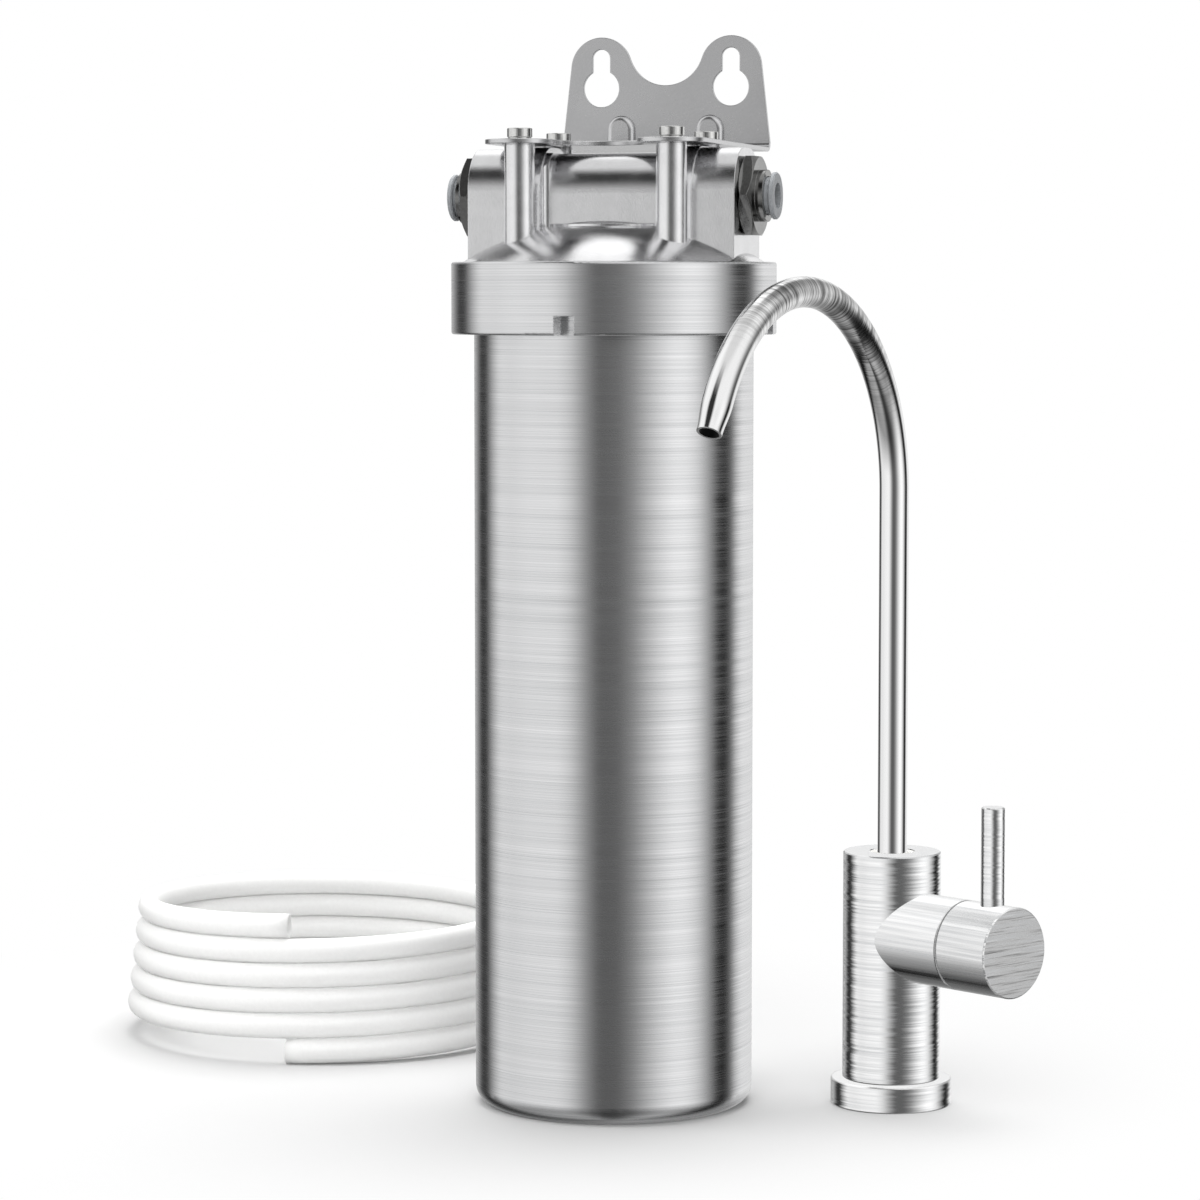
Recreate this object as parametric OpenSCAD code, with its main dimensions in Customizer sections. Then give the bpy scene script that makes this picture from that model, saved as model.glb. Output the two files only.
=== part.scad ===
// Under-sink water filter: a steel canister with its head and wall bracket, a gooseneck
// faucet and a coil of tubing. Millimetres, +Z up. The origin is the middle of the canister's
// base, the wall is on the +Y side and the outlet is on the +X side.

/* [Canister] */
// Outside diameter of the canister
can_d = 90; // [80:1:105]
// Height of the canister to the top of its flange
can_h = 260; // [200:1:320]
// Sheet thickness of the canister
can_wall = 1.2; // [0.8:0.1:2]
// Outside radius where the wall turns into the base
can_corner = 6; // [3:0.5:12]
// Thickness of the flange at the top of the canister
flange_t = 3; // [2:0.5:4]
// How far the flange stands out from the wall
flange_out = 3.6; // [3.2:0.2:6]

/* [Ring nut] */
// Height of the ring nut
ring_h = 23.1; // [20:0.1:30]
// Height of the lip that carries the canister's flange
ring_lip = 7.2; // [6.5:0.1:9]
// Wall of the ring nut outside its thread
ring_wall = 3.1; // [2:0.1:6]
// Number of spanner notches in the ring nut
notch_count = 4; // [2:1:8]
// Width of a spanner notch
notch_w = 6.5; // [4:0.5:10]
// Height of a spanner notch
notch_h = 6; // [3:0.5:6]
// Rounding of the ring nut's edges
ring_round = 0.8; // [0.4:0.1:1.5]

/* [Head] */
// Rise of the dome above its rim
dome_rise = 14; // [11:0.5:17]
// Wall of the dome over the hollow inside
head_wall = 8; // [6:0.5:10]
// How far the port block's end faces lie inside the rim
block_inset = 4.9; // [4:0.1:8]
// Depth of the port block, from front to back
block_d = 33; // [28:1:38]
// Height of the port block above the rim
block_rise = 36.5; // [34:0.1:42]
// Rounding along the top of the port block
block_round = 13.5; // [8:0.5:14]
// Height of the ports above the rim
port_rise = 21.1; // [19:0.1:23]
// How far the waist is set in at the front and the back
waist_inset = 3; // [1:0.5:4]
// How far the top of the waist is below the port block's top
waist_drop = 1.5; // [0.5:0.5:3]
// Width of the flat along the top of the waist
waist_flat = 1; // [0.5:0.5:4]
// Radius of the fillets at the two ends of the waist
waist_fillet = 2; // [0.5:0.25:4]
// How far the bands that carry the bosses stand out from the port block
band_raise = 1; // [0.6:0.1:1.6]
// Diameter of a bracket boss
boss_d = 9.8; // [9:0.1:12]
// Spacing of the bosses from side to side
boss_dx = 50; // [44:1:56]
// Spacing of the bosses from front to back
boss_dy = 43; // [40:0.5:43.5]
// How far the bosses stand above the port block
boss_over = 0.9; // [0.8:0.1:3]
// Section of the seal between the head and the canister
head_seal_cs = 2.6; // [2:0.1:2.8]

/* [Push fittings] */
// Outside diameter of the tubing
tube_d = 8; // [6:0.5:10]
// Width of a fitting's hexagon across its flats
hex_af = 25; // [22:0.5:28]
// Thickness of a fitting's hexagon
hex_t = 4.5; // [3:0.5:8]
// Length of the sleeve outside the hexagon
sleeve_l = 2.5; // [1.5:0.5:6]
// Length of a fitting's thread
thread_l = 11; // [9:0.5:13]
// Travel of a collet from rest to pressed
collet_travel = 1.2; // [0.8:0.1:1.6]
// Thickness of a collet's flange
collet_t = 1.6; // [1:0.1:3]
// Section of the seal around the tubing
tube_seal_cs = 2; // [1.5:0.1:2.4]

/* [Wall bracket] */
// Sheet thickness of the bracket
sheet_t = 1.5; // [1.2:0.1:3]
// Clear space between the ring nut and the wall
wall_gap = 12.7; // [8:0.1:25]
// Width of the bracket's plate at the bend
plate_w = 72; // [68:1:90]
// Place of the round end of the slot between the arms, in front of the axis
shelf_slot = 16; // [12:0.5:20]
// Inside radius of the bend
bend_r = 1.6; // [1:0.1:3]
// Spacing of the keyholes
keyhole_dx = 45; // [40:0.5:50]
// Height of the keyholes above the bracket's shelf
keyhole_rise = 20.2; // [17:0.1:26]
// Diameter of a keyhole's round opening
keyhole_d = 12.3; // [9:0.1:13]
// Width of a keyhole's slot
slot_w = 6; // [4:0.1:7]
// Height of the slot's round end above the keyhole
slot_rise = 10.1; // [8:0.1:12]
// Radius of the ears around the slots
ear_r = 10.6; // [9:0.1:11]
// Height of the dip between the ears above the bracket's shelf
dip_rise = 21.1; // [16:0.1:23]
// Width of a pressed gusset in the bend
gusset_w = 9.2; // [6:0.2:12]
// Height of a pressed gusset
gusset_h = 11; // [7:0.5:13]
// How far a pressed gusset stands out of the plate
gusset_out = 2.2; // [0.8:0.1:3]
// Spacing of the gussets
gusset_dx = 30.8; // [20:0.2:36]

/* [Bracket bolts] */
// Thread diameter of a bracket bolt
bolt_d = 5; // [4:0.5:6]
// Diameter of a bolt's head
bolt_head_d = 8; // [7:0.5:9]
// Height of a bolt's head
bolt_head_h = 3; // [1.5:0.1:4]
// Depth of a bolt in its boss
bolt_grip = 10; // [6:0.5:14]
// Thickness of a lock washer
washer_t = 0.6; // [0.4:0.1:1.2]

/* [Cartridge] */
// Diameter of the cartridge's end caps
cap_d = 64; // [54:1:68]
// Inside diameter of the cartridge's core
core_d = 26; // [22:1:30]
// Wall of the core tube
core_wall = 1.4; // [1:0.1:3]
// Thickness of an end cap
cap_t = 3; // [2:0.5:5]
// Height of an end cap's skirt
skirt_h = 6; // [4:0.5:12]
// Wall of an end cap's skirt
skirt_t = 1.4; // [1:0.1:2]
// Thickness of a cartridge gasket
gasket_t = 2.5; // [1.5:0.1:4]
// Height of the cartridge seat
seat_h = 4.8; // [3:0.1:10]
// Depth of the cartridge's top below the canister's flange
cart_drop = 3.8; // [3:0.1:8]
// Length of the head's spigot below the top of the cartridge
spigot_l = 12; // [9:0.5:20]

/* [Faucet] */
// Place of the faucet to the right of the canister
faucet_x = 88.1; // [85:0.1:140]
// Place of the faucet behind the canister's axis
faucet_y = 20; // [-40:0.5:40]
// Diameter of the faucet's base
base_d = 39.2; // [36:0.2:46]
// Height of the faucet's base
base_h = 8.5; // [6:0.5:12]
// Diameter of the faucet's body
body_d = 31.6; // [30:0.2:35]
// Height of the faucet's body above the deck
body_top = 82.5; // [78:0.5:100]
// Diameter of the shank's thread under the body
shank_d = 11.1; // [8:0.1:12]
// Depth of the shank's threaded hole
shank_l = 14; // [10:0.5:20]

/* [Faucet valve] */
// Height of the valve's axis above the deck
valve_z = 55.5; // [52:0.5:57]
// Way that the valve points, turned from +X
valve_turn = -32; // [-60:1:20]
// Diameter of the valve's barrel and of the handle's cap
barrel_d = 29; // [28:0.2:31]
// Reach of the fixed barrel from the faucet's axis
barrel_l = 32.6; // [32.4:0.2:38]
// Length of the handle's cap
handle_l = 20.5; // [17:0.5:26]
// Diameter of the lever
lever_d = 7.5; // [6:0.5:9]
// Height of the lever's end above the valve's axis
lever_h = 45.5; // [30:0.5:60]
// Place of the lever along the handle's cap
lever_at = 11.1; // [8:0.1:12]
// Diameter of the valve's spindle
spindle_d = 8; // [6:0.2:9]
// Diameter of the ceramic discs
disc_d = 18; // [16:0.2:18.4]
// Thickness of a ceramic disc
disc_t = 3; // [2:0.1:3.2]

/* [Faucet spout] */
// Outside diameter of the spout
spout_d = 9.5; // [7:0.1:10]
// Wall of the spout
spout_wall = 0.8; // [0.6:0.1:1.4]
// Height above the deck where the spout starts to bend
spout_rise = 199; // [150:1:250]
// Radius of the spout's bend
spout_r = 64; // [45:1:72]
// Angle of the spout's bend
spout_bend = 150; // [120:1:170]
// Length of the straight end after the bend
spout_end = 5; // [3:0.5:30]
// Length of the narrowed tip
tip_l = 6; // [3:0.5:10]
// Outside diameter at the end of the tip
tip_d = 7.8; // [5:0.1:8]
// Way that the spout points, turned from +X
spout_turn = -104; // [-110:1:-60]

/* [Tubing coil] */
// Number of turns in the coil
coil_turns = 5; // [2:1:8]
// Radius of the lowest turn, to the middle of the tubing
coil_r = 69.2; // [55:0.2:72]
// How much the radius shrinks with each turn
coil_taper = 1; // [0:0.1:2]
// Free space between one turn and the next
coil_gap = 0.5; // [0.45:0.05:2]

/* [Fits] */
// Gap between faces that turn or slide past each other
run_gap = 0.3; // [0.2:0.05:0.4]
// Gap between a shaft and its bearing, on the radius
shaft_gap = 0.05; // [0.02:0.01:0.08]
// Gap around pieces that are screwed or pushed together
push_gap = 0.1; // [0.05:0.05:0.15]
// Gap between flat faces that close on a seal
seat_gap = 0.2; // [0.1:0.05:0.3]

/* [Hidden] */
$fn = 96;

// A little more, so that a cut goes right through
over = 1;

// Canister and ring nut
can_r = can_d / 2;
flange_r = can_r + flange_out;
lip_r = can_r + run_gap;
rim_r = flange_r + run_gap;
ring_bore_r = rim_r + run_gap;
ring_r = ring_bore_r + ring_wall;
ring_z = can_h - flange_t - run_gap - ring_lip;
ring_top = ring_z + ring_h;
notch_turn = -91.5;

// Cartridge, from the seat upwards
core_r = core_d / 2;
core_out_r = core_r + core_wall;
cap_r = cap_d / 2;
carbon_r = cap_r - skirt_t - push_gap;
wrap_t = 0.6;
seat_out = 9;
seat_r = core_r + seat_out;
pilot_r = core_r - 0.5;
pilot_in = 4;
seat_top = can_wall + seat_h;
cap_z0 = seat_top + gasket_t;
carbon_z0 = cap_z0 + cap_t;
cart_top = can_h - cart_drop;
cap_z1 = cart_top - gasket_t;
carbon_z1 = cap_z1 - cap_t;

// Head, from its underside to the tops of the bosses
head_z = can_h + seat_gap;
rim_top = ring_top - seat_gap;
block_l = 2 * (rim_r - block_inset);
dome_r = (pow(rim_r, 2) + pow(dome_rise, 2)) / (2 * dome_rise);
dome_z = rim_top + dome_rise - dome_r;
hollow_r = can_r - can_wall - 2.8;
port_z = rim_top + port_rise;
block_top = rim_top + block_rise;
boss_top = block_top + boss_over;
boss_r = boss_d / 2;
waist_y = block_d / 2 - waist_inset;
waist_round = waist_y - waist_flat / 2;
band_w = boss_d + 0.9;
band_x0 = boss_dx / 2 - band_w / 2;
band_x1 = boss_dx / 2 + band_w / 2;
seal_mid_r = (can_r - can_wall + flange_r) / 2;
spigot_r = core_r - 1;
spigot_bore_r = spigot_r - 4.5;
spigot_z = cart_top + seat_gap - spigot_l;
way_r = 4.5;
drop_x = band_x0 + 2;
drop_r = 4;

// Push fittings, measured outwards from the end face of the port block
tube_r = tube_d / 2;
tube_bore_r = tube_r + 0.15;
chamber_r = tube_bore_r + tube_seal_cs + push_gap;
stub_r = chamber_r + 1.3;
sleeve_r = chamber_r + 2;
fit_hole_r = stub_r + push_gap;
fit_hole_l = thread_l + 0.5;
fit_way_r = tube_r - 1.3;
sleeve_end = hex_t + sleeve_l;
collet_gap = collet_travel + run_gap;
collet_flange_r = chamber_r + 1.25;
collet_r = chamber_r - run_gap;
collet_l = sleeve_end - 1.4;
grab_t = 0.4;
grab_u = sleeve_end - collet_l - collet_travel - 0.2 - grab_t;
chamber_u = grab_u - push_gap - tube_seal_cs - 2 * push_gap;
stop_u = chamber_u - 5;
port_seal_cs = 1.5;
port_seal_r = stub_r + push_gap + port_seal_cs / 2 + push_gap;
port_groove_r = port_seal_r + port_seal_cs / 2 + push_gap;
port_groove_l = port_seal_cs + 2 * push_gap;

// Wall bracket
shelf_z = boss_top;
shelf_top = shelf_z + sheet_t;
arm_w = plate_w - boss_dx;
arm_gap = plate_w - 2 * arm_w;
wall_y = ring_r + wall_gap;
bend_y = wall_y - sheet_t - bend_r;
bend_z = shelf_top + bend_r;
key_x = keyhole_dx / 2;
key_z = shelf_top + keyhole_rise;
slot_z = key_z + slot_rise;
ear_z = slot_z - 3.5;
dip_z = shelf_top + dip_rise;
dip_r = (pow(key_x, 2) + pow(ear_z - dip_z, 2) - pow(ear_r, 2)) / (2 * (ear_r + ear_z - dip_z));
dip_mid_z = dip_z + dip_r;
bolt_hole_r = bolt_d / 2 + 0.25;
bolt_z = shelf_top + washer_t;

// Faucet, about its own axis and measured up from the deck
base_r = base_d / 2;
body_r = body_d / 2;
neck_r = body_r - 4;
neck_z = 1.5;
shank_r = shank_d / 2;
barrel_r = barrel_d / 2;
spout_out_r = spout_d / 2;
socket_r = spout_out_r + 2.6;
socket_rise = 6;
socket_z = valve_z + socket_rise;
ferrule_r = socket_r - 0.15;
ferrule_z = socket_z + 0.5;
ferrule_h = 10;
ferrule_groove_r = ferrule_r - 1.3;
spout_seal_cs = 1.1;
spout_seal_mid_r = ferrule_groove_r + push_gap / 2 + spout_seal_cs / 2;
spout_seal_at = [0.28, 0.72];
bush_z = ferrule_z + ferrule_h + run_gap;
bush_recess = 0.3;
bush_groove_w = spout_seal_cs + 2 * push_gap;
tip_step = 0.05;
tip_bore_r = tip_d / 2 - 0.6;

// Faucet valve, measured along its barrel from the faucet's axis
spindle_r = spindle_d / 2;
spindle_bore_r = spindle_r + shaft_gap;
disc_r = disc_d / 2;
disc_room_r = disc_r + 0.2;
shell_r = disc_room_r + 1.1;
cavity_r = shell_r + seat_gap;
nut_r = cavity_r + 2.1;
mouth_r = nut_r + push_gap;
cavity_u = body_r + 0.2;
fixed_u = cavity_u + run_gap;
moving_u = fixed_u + disc_t + seat_gap;
drive_u = moving_u + disc_t + seat_gap;
drive_t = 1;
room_end_u = drive_u + drive_t + run_gap;
shoulder_u = room_end_u + 2;
nut_u = shoulder_u + push_gap;
nut_t = 3.4;
shell_end_u = nut_u + nut_t;
valve_way_r = 2.5;
valve_way_off = 0.55 * disc_r;
inlet_way_r = 3;
handle_u = barrel_l + run_gap;
handle_end_u = handle_u + handle_l;
lever_u = handle_u + lever_at;
spindle_end_u = handle_u + 12;
lever_r = lever_d / 2;
lever_foot = spindle_bore_r + 4;
grub_r = 2;
grub_u = handle_u + 7;
edge = 0.4;

// Tubing coil: its middle, the place of its first end and its steps
coil_x = -132.8;
coil_y = 95.1;
coil_start = -82.5;
coil_rings = 24;
coil_sides = 6;
coil_pitch = tube_d + coil_gap;
coil_steps = coil_turns * coil_rings;

// Shared shapes

// A plain ring or disc standing on z
module ring(outer, inner, h, z = 0) {
    translate([0, 0, z]) difference() {
        cylinder(r = outer, h = h);
        if (inner > 0) translate([0, 0, -over]) cylinder(r = inner, h = h + 2 * over);
    }
}

// A round seal lying flat, with its middle at z
module seal(mid_r, cs, z = 0) {
    translate([0, 0, z]) rotate_extrude() translate([mid_r, 0]) circle(d = cs);
}

// Half the outline of a cup with a rounded lower corner
module cup_outline(r, h, corner) {
    square([r - corner, h]);
    translate([0, corner]) square([r, h - corner]);
    translate([r - corner, corner]) circle(r = corner);
}

// A solid disc with both rims chamfered, standing on z
module chamfered_disc(r, h, c, z = 0) {
    translate([0, 0, z]) rotate_extrude()
        polygon([[0, 0], [r - c, 0], [r, c], [r, h - c], [r - c, h], [0, h]]);
}

// The four places of the bracket's bolts
module at_bosses() {
    for (sx = [-1, 1], sy = [-1, 1]) translate([sx * boss_dx / 2, sy * boss_dy / 2, 0]) children();
}

// The outward way of a port, +1 for the outlet and -1 for the inlet
module along_port(side) {
    translate([side * block_l / 2, 0, port_z]) rotate([0, 90 * side, 0]) children();
}

// The faucet's own axis
module at_faucet() {
    translate([faucet_x, faucet_y, 0]) children();
}

// The valve's axis, pointing outwards along the barrel
module along_valve() {
    at_faucet() translate([0, 0, valve_z]) rotate([0, 0, valve_turn]) rotate([0, 90, 0]) children();
}

// The spout's own plane, with the bend going out along +X
module along_spout() {
    at_faucet() rotate([0, 0, spout_turn]) children();
}

// Canister

module canister() {
    color("silver") rotate_extrude() difference() {
        union() {
            cup_outline(can_r, can_h, can_corner);
            translate([0, can_h - flange_t]) square([flange_r, flange_t]);
        }
        translate([0, can_wall]) cup_outline(can_r - can_wall, can_h, can_corner - can_wall);
    }
}

module ring_nut() {
    color("silver") difference() {
        rotate_extrude() difference() {
            union() {
                translate([lip_r, ring_z]) square([ring_r - ring_round - lip_r, ring_h]);
                translate([lip_r, ring_z + ring_round])
                    square([ring_r - lip_r, ring_h - 2 * ring_round]);
                for (z = [ring_z + ring_round, ring_top - ring_round])
                    translate([ring_r - ring_round, z]) circle(r = ring_round);
            }
            translate([0, ring_z + ring_lip]) square([ring_bore_r, ring_h]);
        }
        for (i = [0 : notch_count - 1]) rotate([0, 0, 360 * i / notch_count + notch_turn])
            translate([can_r - over, -notch_w / 2, ring_z - over])
                cube([ring_r - can_r + 2 * over, notch_w, notch_h + over]);
    }
}

// Cartridge

module cartridge_seat() {
    color("gainsboro") union() {
        ring(seat_r, 0, seat_h, can_wall);
        ring(pilot_r, 0, gasket_t + cap_t + pilot_in + over, seat_top - over);
    }
}

module gasket(z) {
    ring(seat_r - 0.5, core_r + 0.2, gasket_t, z);
}

module bottom_gasket() {
    color("dimgray") gasket(seat_top);
}

module top_gasket() {
    color("dimgray") gasket(cap_z1);
}

// An end cap with its skirt standing up from the plate
module end_cap() {
    difference() {
        cylinder(r = cap_r, h = cap_t + skirt_h);
        translate([0, 0, cap_t]) cylinder(r = cap_r - skirt_t, h = skirt_h + over);
        translate([0, 0, -over]) cylinder(r = core_r, h = cap_t + 2 * over);
    }
}

module bottom_end_cap() {
    color("white") translate([0, 0, cap_z0]) end_cap();
}

module top_end_cap() {
    color("white") translate([0, 0, cap_z1]) rotate([180, 0, 0]) end_cap();
}

module core_tube() {
    color("white") ring(core_out_r, core_r, carbon_z1 - carbon_z0, carbon_z0);
}

module carbon_block() {
    color("#222222") ring(carbon_r, core_out_r + push_gap, carbon_z1 - carbon_z0, carbon_z0);
}

module filter_wrap() {
    color("whitesmoke") ring(carbon_r + push_gap / 2 + wrap_t, carbon_r + push_gap / 2,
        carbon_z1 - carbon_z0 - 2 * (skirt_h + push_gap), carbon_z0 + skirt_h + push_gap);
}

// Head

// Front-to-back outline of the port block, round along the top
module arch_outline(depth, top, round) {
    half = depth / 2;
    translate([-half, rim_top]) square([depth, top - round - rim_top]);
    translate([round - half, rim_top]) square([depth - 2 * round, top - rim_top]);
    for (s = [-1, 1]) translate([s * (half - round), top - round]) circle(r = round);
}

// A bar of that outline, from x0 to x1
module arch_bar(x0, x1, depth, top, round) {
    translate([x0, 0, 0]) rotate([90, 0, 90]) linear_extrude(x1 - x0)
        arch_outline(depth, top, round);
}

// Hollow fillets at the four corners between the waist and the bands
module waist_fillets() {
    f = waist_fillet;
    intersection() {
        arch_bar(-band_x0, band_x0, block_d, block_top, block_round);
        for (mx = [0, 1], my = [0, 1]) mirror([mx, 0, 0]) mirror([0, my, 0])
            translate([band_x0, waist_y, rim_top]) linear_extrude(block_rise - waist_drop) difference() {
                translate([-f, -waist_y]) square([f + over, waist_y + f]);
                translate([-f, f]) circle(r = f);
            }
    }
}

module head_outside() {
    ring(rim_r, 0, rim_top - head_z, head_z);
    intersection() {
        translate([0, 0, dome_z]) sphere(r = dome_r, $fn = 192);
        translate([0, 0, rim_top - over]) cylinder(r = rim_r, h = dome_rise + 2 * over);
    }
    for (mx = [0, 1]) mirror([mx, 0, 0]) {
        arch_bar(band_x1 - over, block_l / 2, block_d, block_top, block_round);
        arch_bar(band_x0, band_x1, block_d + 2 * band_raise, block_top + band_raise / 2,
            block_round + band_raise);
    }
    arch_bar(-band_x0 - over, band_x0 + over, 2 * waist_y, block_top - waist_drop, waist_round);
    waist_fillets();
    at_bosses() translate([0, 0, rim_top]) cylinder(r = boss_r, h = boss_top - rim_top);
}

module head() {
    color("lightgray") difference() {
        union() {
            difference() {
                head_outside();
                intersection() {
                    translate([0, 0, dome_z]) sphere(r = dome_r - head_wall, $fn = 192);
                    translate([0, 0, head_z - over])
                        cylinder(r = hollow_r, h = rim_top + dome_rise - head_z);
                }
            }
            translate([0, 0, cart_top + seat_gap])
                cylinder(r = seat_r, h = rim_top + dome_rise - 2 - cart_top);
            translate([0, 0, spigot_z]) cylinder(r = spigot_r, h = rim_top - spigot_z);
        }
        translate([0, 0, spigot_z - over])
            cylinder(r = spigot_bore_r, h = port_z - spigot_z + over);
        translate([0, 0, port_z]) rotate([0, 90, 0]) cylinder(r = way_r, h = block_l / 2 + over);
        translate([-drop_x, 0, port_z]) rotate([0, -90, 0])
            cylinder(r = way_r, h = block_l / 2 - drop_x + over);
        translate([-drop_x, 0, head_z + over]) cylinder(r = drop_r, h = port_z - head_z - over);
        for (side = [-1, 1]) along_port(side) {
            translate([0, 0, -fit_hole_l]) cylinder(r = fit_hole_r, h = fit_hole_l + over);
            translate([0, 0, -port_groove_l]) cylinder(r = port_groove_r, h = port_groove_l + over);
        }
        at_bosses() translate([0, 0, boss_top - bolt_grip - over])
            cylinder(r = bolt_d / 2 + push_gap, h = bolt_grip + 2 * over);
        ring(seal_mid_r + head_seal_cs / 2 + push_gap, seal_mid_r - head_seal_cs / 2 - push_gap,
            head_seal_cs + push_gap + over, head_z - over);
    }
}

module head_seal() {
    color("#1c1c1c") seal(seal_mid_r, head_seal_cs, head_z + push_gap / 2 + head_seal_cs / 2);
}

// Push fittings

// A hexagon with its corners chamfered on both faces and its flats level
module fitting_hex() {
    corner_r = hex_af / 2 / cos(30);
    face_r = 0.98 * hex_af / 2;
    drop = (corner_r - face_r) * tan(30);
    intersection() {
        rotate([0, 0, 30]) cylinder(r = corner_r, h = hex_t, $fn = 6);
        rotate_extrude() polygon([[0, 0], [face_r, 0], [corner_r, drop], [corner_r, hex_t - drop],
            [face_r, hex_t], [0, hex_t]]);
    }
}

module push_fitting() {
    color("silver") difference() {
        union() {
            translate([0, 0, -thread_l]) cylinder(r = stub_r, h = thread_l + over);
            fitting_hex();
            translate([0, 0, over]) cylinder(r = sleeve_r, h = sleeve_end - over);
        }
        translate([0, 0, -thread_l - over]) cylinder(r = fit_way_r, h = thread_l + sleeve_end);
        translate([0, 0, stop_u]) cylinder(r = tube_bore_r, h = sleeve_end - stop_u);
        translate([0, 0, chamber_u]) cylinder(r = chamber_r, h = sleeve_end - chamber_u + over);
    }
}

module inlet_fitting() {
    along_port(-1) push_fitting();
}

module outlet_fitting() {
    along_port(1) push_fitting();
}

module collet() {
    color("#9aa0a4") difference() {
        union() {
            translate([0, 0, sleeve_end - collet_l])
                cylinder(r = collet_r, h = collet_l + collet_gap + over);
            chamfered_disc(collet_flange_r, collet_t, edge, sleeve_end + collet_gap);
        }
        translate([0, 0, sleeve_end - collet_l - over])
            cylinder(r = tube_bore_r, h = collet_l + collet_gap + collet_t + 2 * over);
    }
}

module inlet_collet() {
    along_port(-1) collet();
}

module outlet_collet() {
    along_port(1) collet();
}

module port_seals() {
    color("#1c1c1c") for (side = [-1, 1]) along_port(side)
        seal(port_seal_r, port_seal_cs, -port_groove_l / 2);
}

module tube_seals() {
    color("#1c1c1c") for (side = [-1, 1]) along_port(side)
        seal(tube_bore_r + tube_seal_cs / 2, tube_seal_cs, chamber_u + push_gap + tube_seal_cs / 2);
}

module grab_rings() {
    color("silver") for (side = [-1, 1]) along_port(side)
        ring(chamber_r - push_gap, tube_bore_r, grab_t, grab_u);
}

// Wall bracket

module shelf_outline() {
    reach = boss_dy / 2;
    difference() {
        union() {
            for (s = [-1, 1]) translate([s * boss_dx / 2, -reach]) circle(d = arm_w);
            translate([-plate_w / 2, -reach]) square([plate_w, wall_y + reach + over]);
        }
        translate([0, -shelf_slot]) circle(d = arm_gap);
        translate([-arm_gap / 2, -reach - arm_w]) square([arm_gap, reach + arm_w - shelf_slot]);
        at_bosses() circle(r = bolt_hole_r);
    }
}

// Point where a line from p just touches the ear circle on the right
function ear_touch(p) =
    let (dx = p[0] - key_x, dz = p[1] - ear_z, d = norm([dx, dz]),
         a = atan2(dz, dx) + acos(ear_r / d))
    [key_x + ear_r * cos(a), ear_z + ear_r * sin(a)];

module plate_outline() {
    low = [plate_w / 2, bend_z - over];
    foot = [plate_w / 2, bend_z];
    side = ear_touch(foot);
    to_dip = [-key_x, dip_mid_z - ear_z] / norm([key_x, dip_mid_z - ear_z]);
    inner = [key_x, ear_z] + ear_r * to_dip;
    right = [low, foot, side, [key_x, ear_z], inner];
    left = [for (i = [4 : -1 : 0]) [-right[i][0], right[i][1]]];
    difference() {
        union() {
            polygon(concat(right, left));
            for (s = [-1, 1]) translate([s * key_x, ear_z]) circle(r = ear_r);
        }
        translate([0, dip_mid_z]) circle(r = dip_r);
        for (s = [-1, 1]) translate([s * key_x, key_z]) {
            circle(d = keyhole_d);
            translate([-slot_w / 2, 0]) square([slot_w, slot_rise]);
            translate([0, slot_rise]) circle(d = slot_w);
        }
    }
}

// A round-topped gusset pressed out of the plate above the bend
module gusset() {
    r = gusset_w / 2;
    translate([0, wall_y - sheet_t / 2, shelf_top - sheet_t / 2]) rotate([90, 0, 0])
        linear_extrude(sheet_t / 2 + gusset_out) {
            translate([-r, 0]) square([gusset_w, gusset_h + sheet_t / 2 - r]);
            translate([0, gusset_h + sheet_t / 2 - r]) circle(r = r);
        }
}

// The space above the shelf and in front of the plate, grown by t into the sheet
module bend_space(t) {
    deep = wall_y + 2 * arm_w + boss_dy;
    high = 2 * (slot_z + ear_r - shelf_z);
    translate([bend_y - deep, bend_z - bend_r - t]) square([deep, high]);
    translate([bend_y, bend_z]) circle(r = bend_r + t);
    translate([bend_y + bend_r + t - deep, bend_z]) square([deep, high]);
}

// The bent sheet seen from its side: shelf, bend and plate
module bent_sheet() {
    difference() {
        bend_space(sheet_t);
        bend_space(0);
    }
}

module wall_bracket() {
    color("#a3a3a3") union() {
        intersection() {
            translate([-plate_w / 2, 0, 0]) rotate([90, 0, 90]) linear_extrude(plate_w) bent_sheet();
            union() {
                translate([0, 0, shelf_z - over]) linear_extrude(bend_z - shelf_z + over) shelf_outline();
                translate([0, wall_y + over, 0]) rotate([90, 0, 0])
                    linear_extrude(bend_r + sheet_t + 2 * over) plate_outline();
            }
        }
        for (s = [-1, 1]) translate([s * gusset_dx / 2, 0, 0]) gusset();
    }
}

module bracket_bolts() {
    color("silver") at_bosses() union() {
        translate([0, 0, boss_top - bolt_grip])
            cylinder(d = bolt_d, h = bolt_z - boss_top + bolt_grip + over);
        chamfered_disc(bolt_head_d / 2, bolt_head_h, edge, bolt_z);
    }
}

module lock_washers() {
    color("gray") at_bosses()
        ring(bolt_head_d / 2 - edge, bolt_d / 2 + push_gap, washer_t, shelf_top);
}

// Faucet

module faucet_base() {
    groove_r = (neck_r + base_r) / 2;
    color("silver") at_faucet() difference() {
        chamfered_disc(base_r, base_h, edge);
        translate([0, 0, -over]) cylinder(r = neck_r + push_gap, h = base_h + 2 * over);
        ring(groove_r + 1.6, groove_r - 1.6, neck_z + push_gap + over, -over);
    }
}

module base_gasket() {
    groove_r = (neck_r + base_r) / 2;
    color("#1c1c1c") at_faucet() ring(groove_r + 1.5, groove_r - 1.5, neck_z);
}

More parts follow.
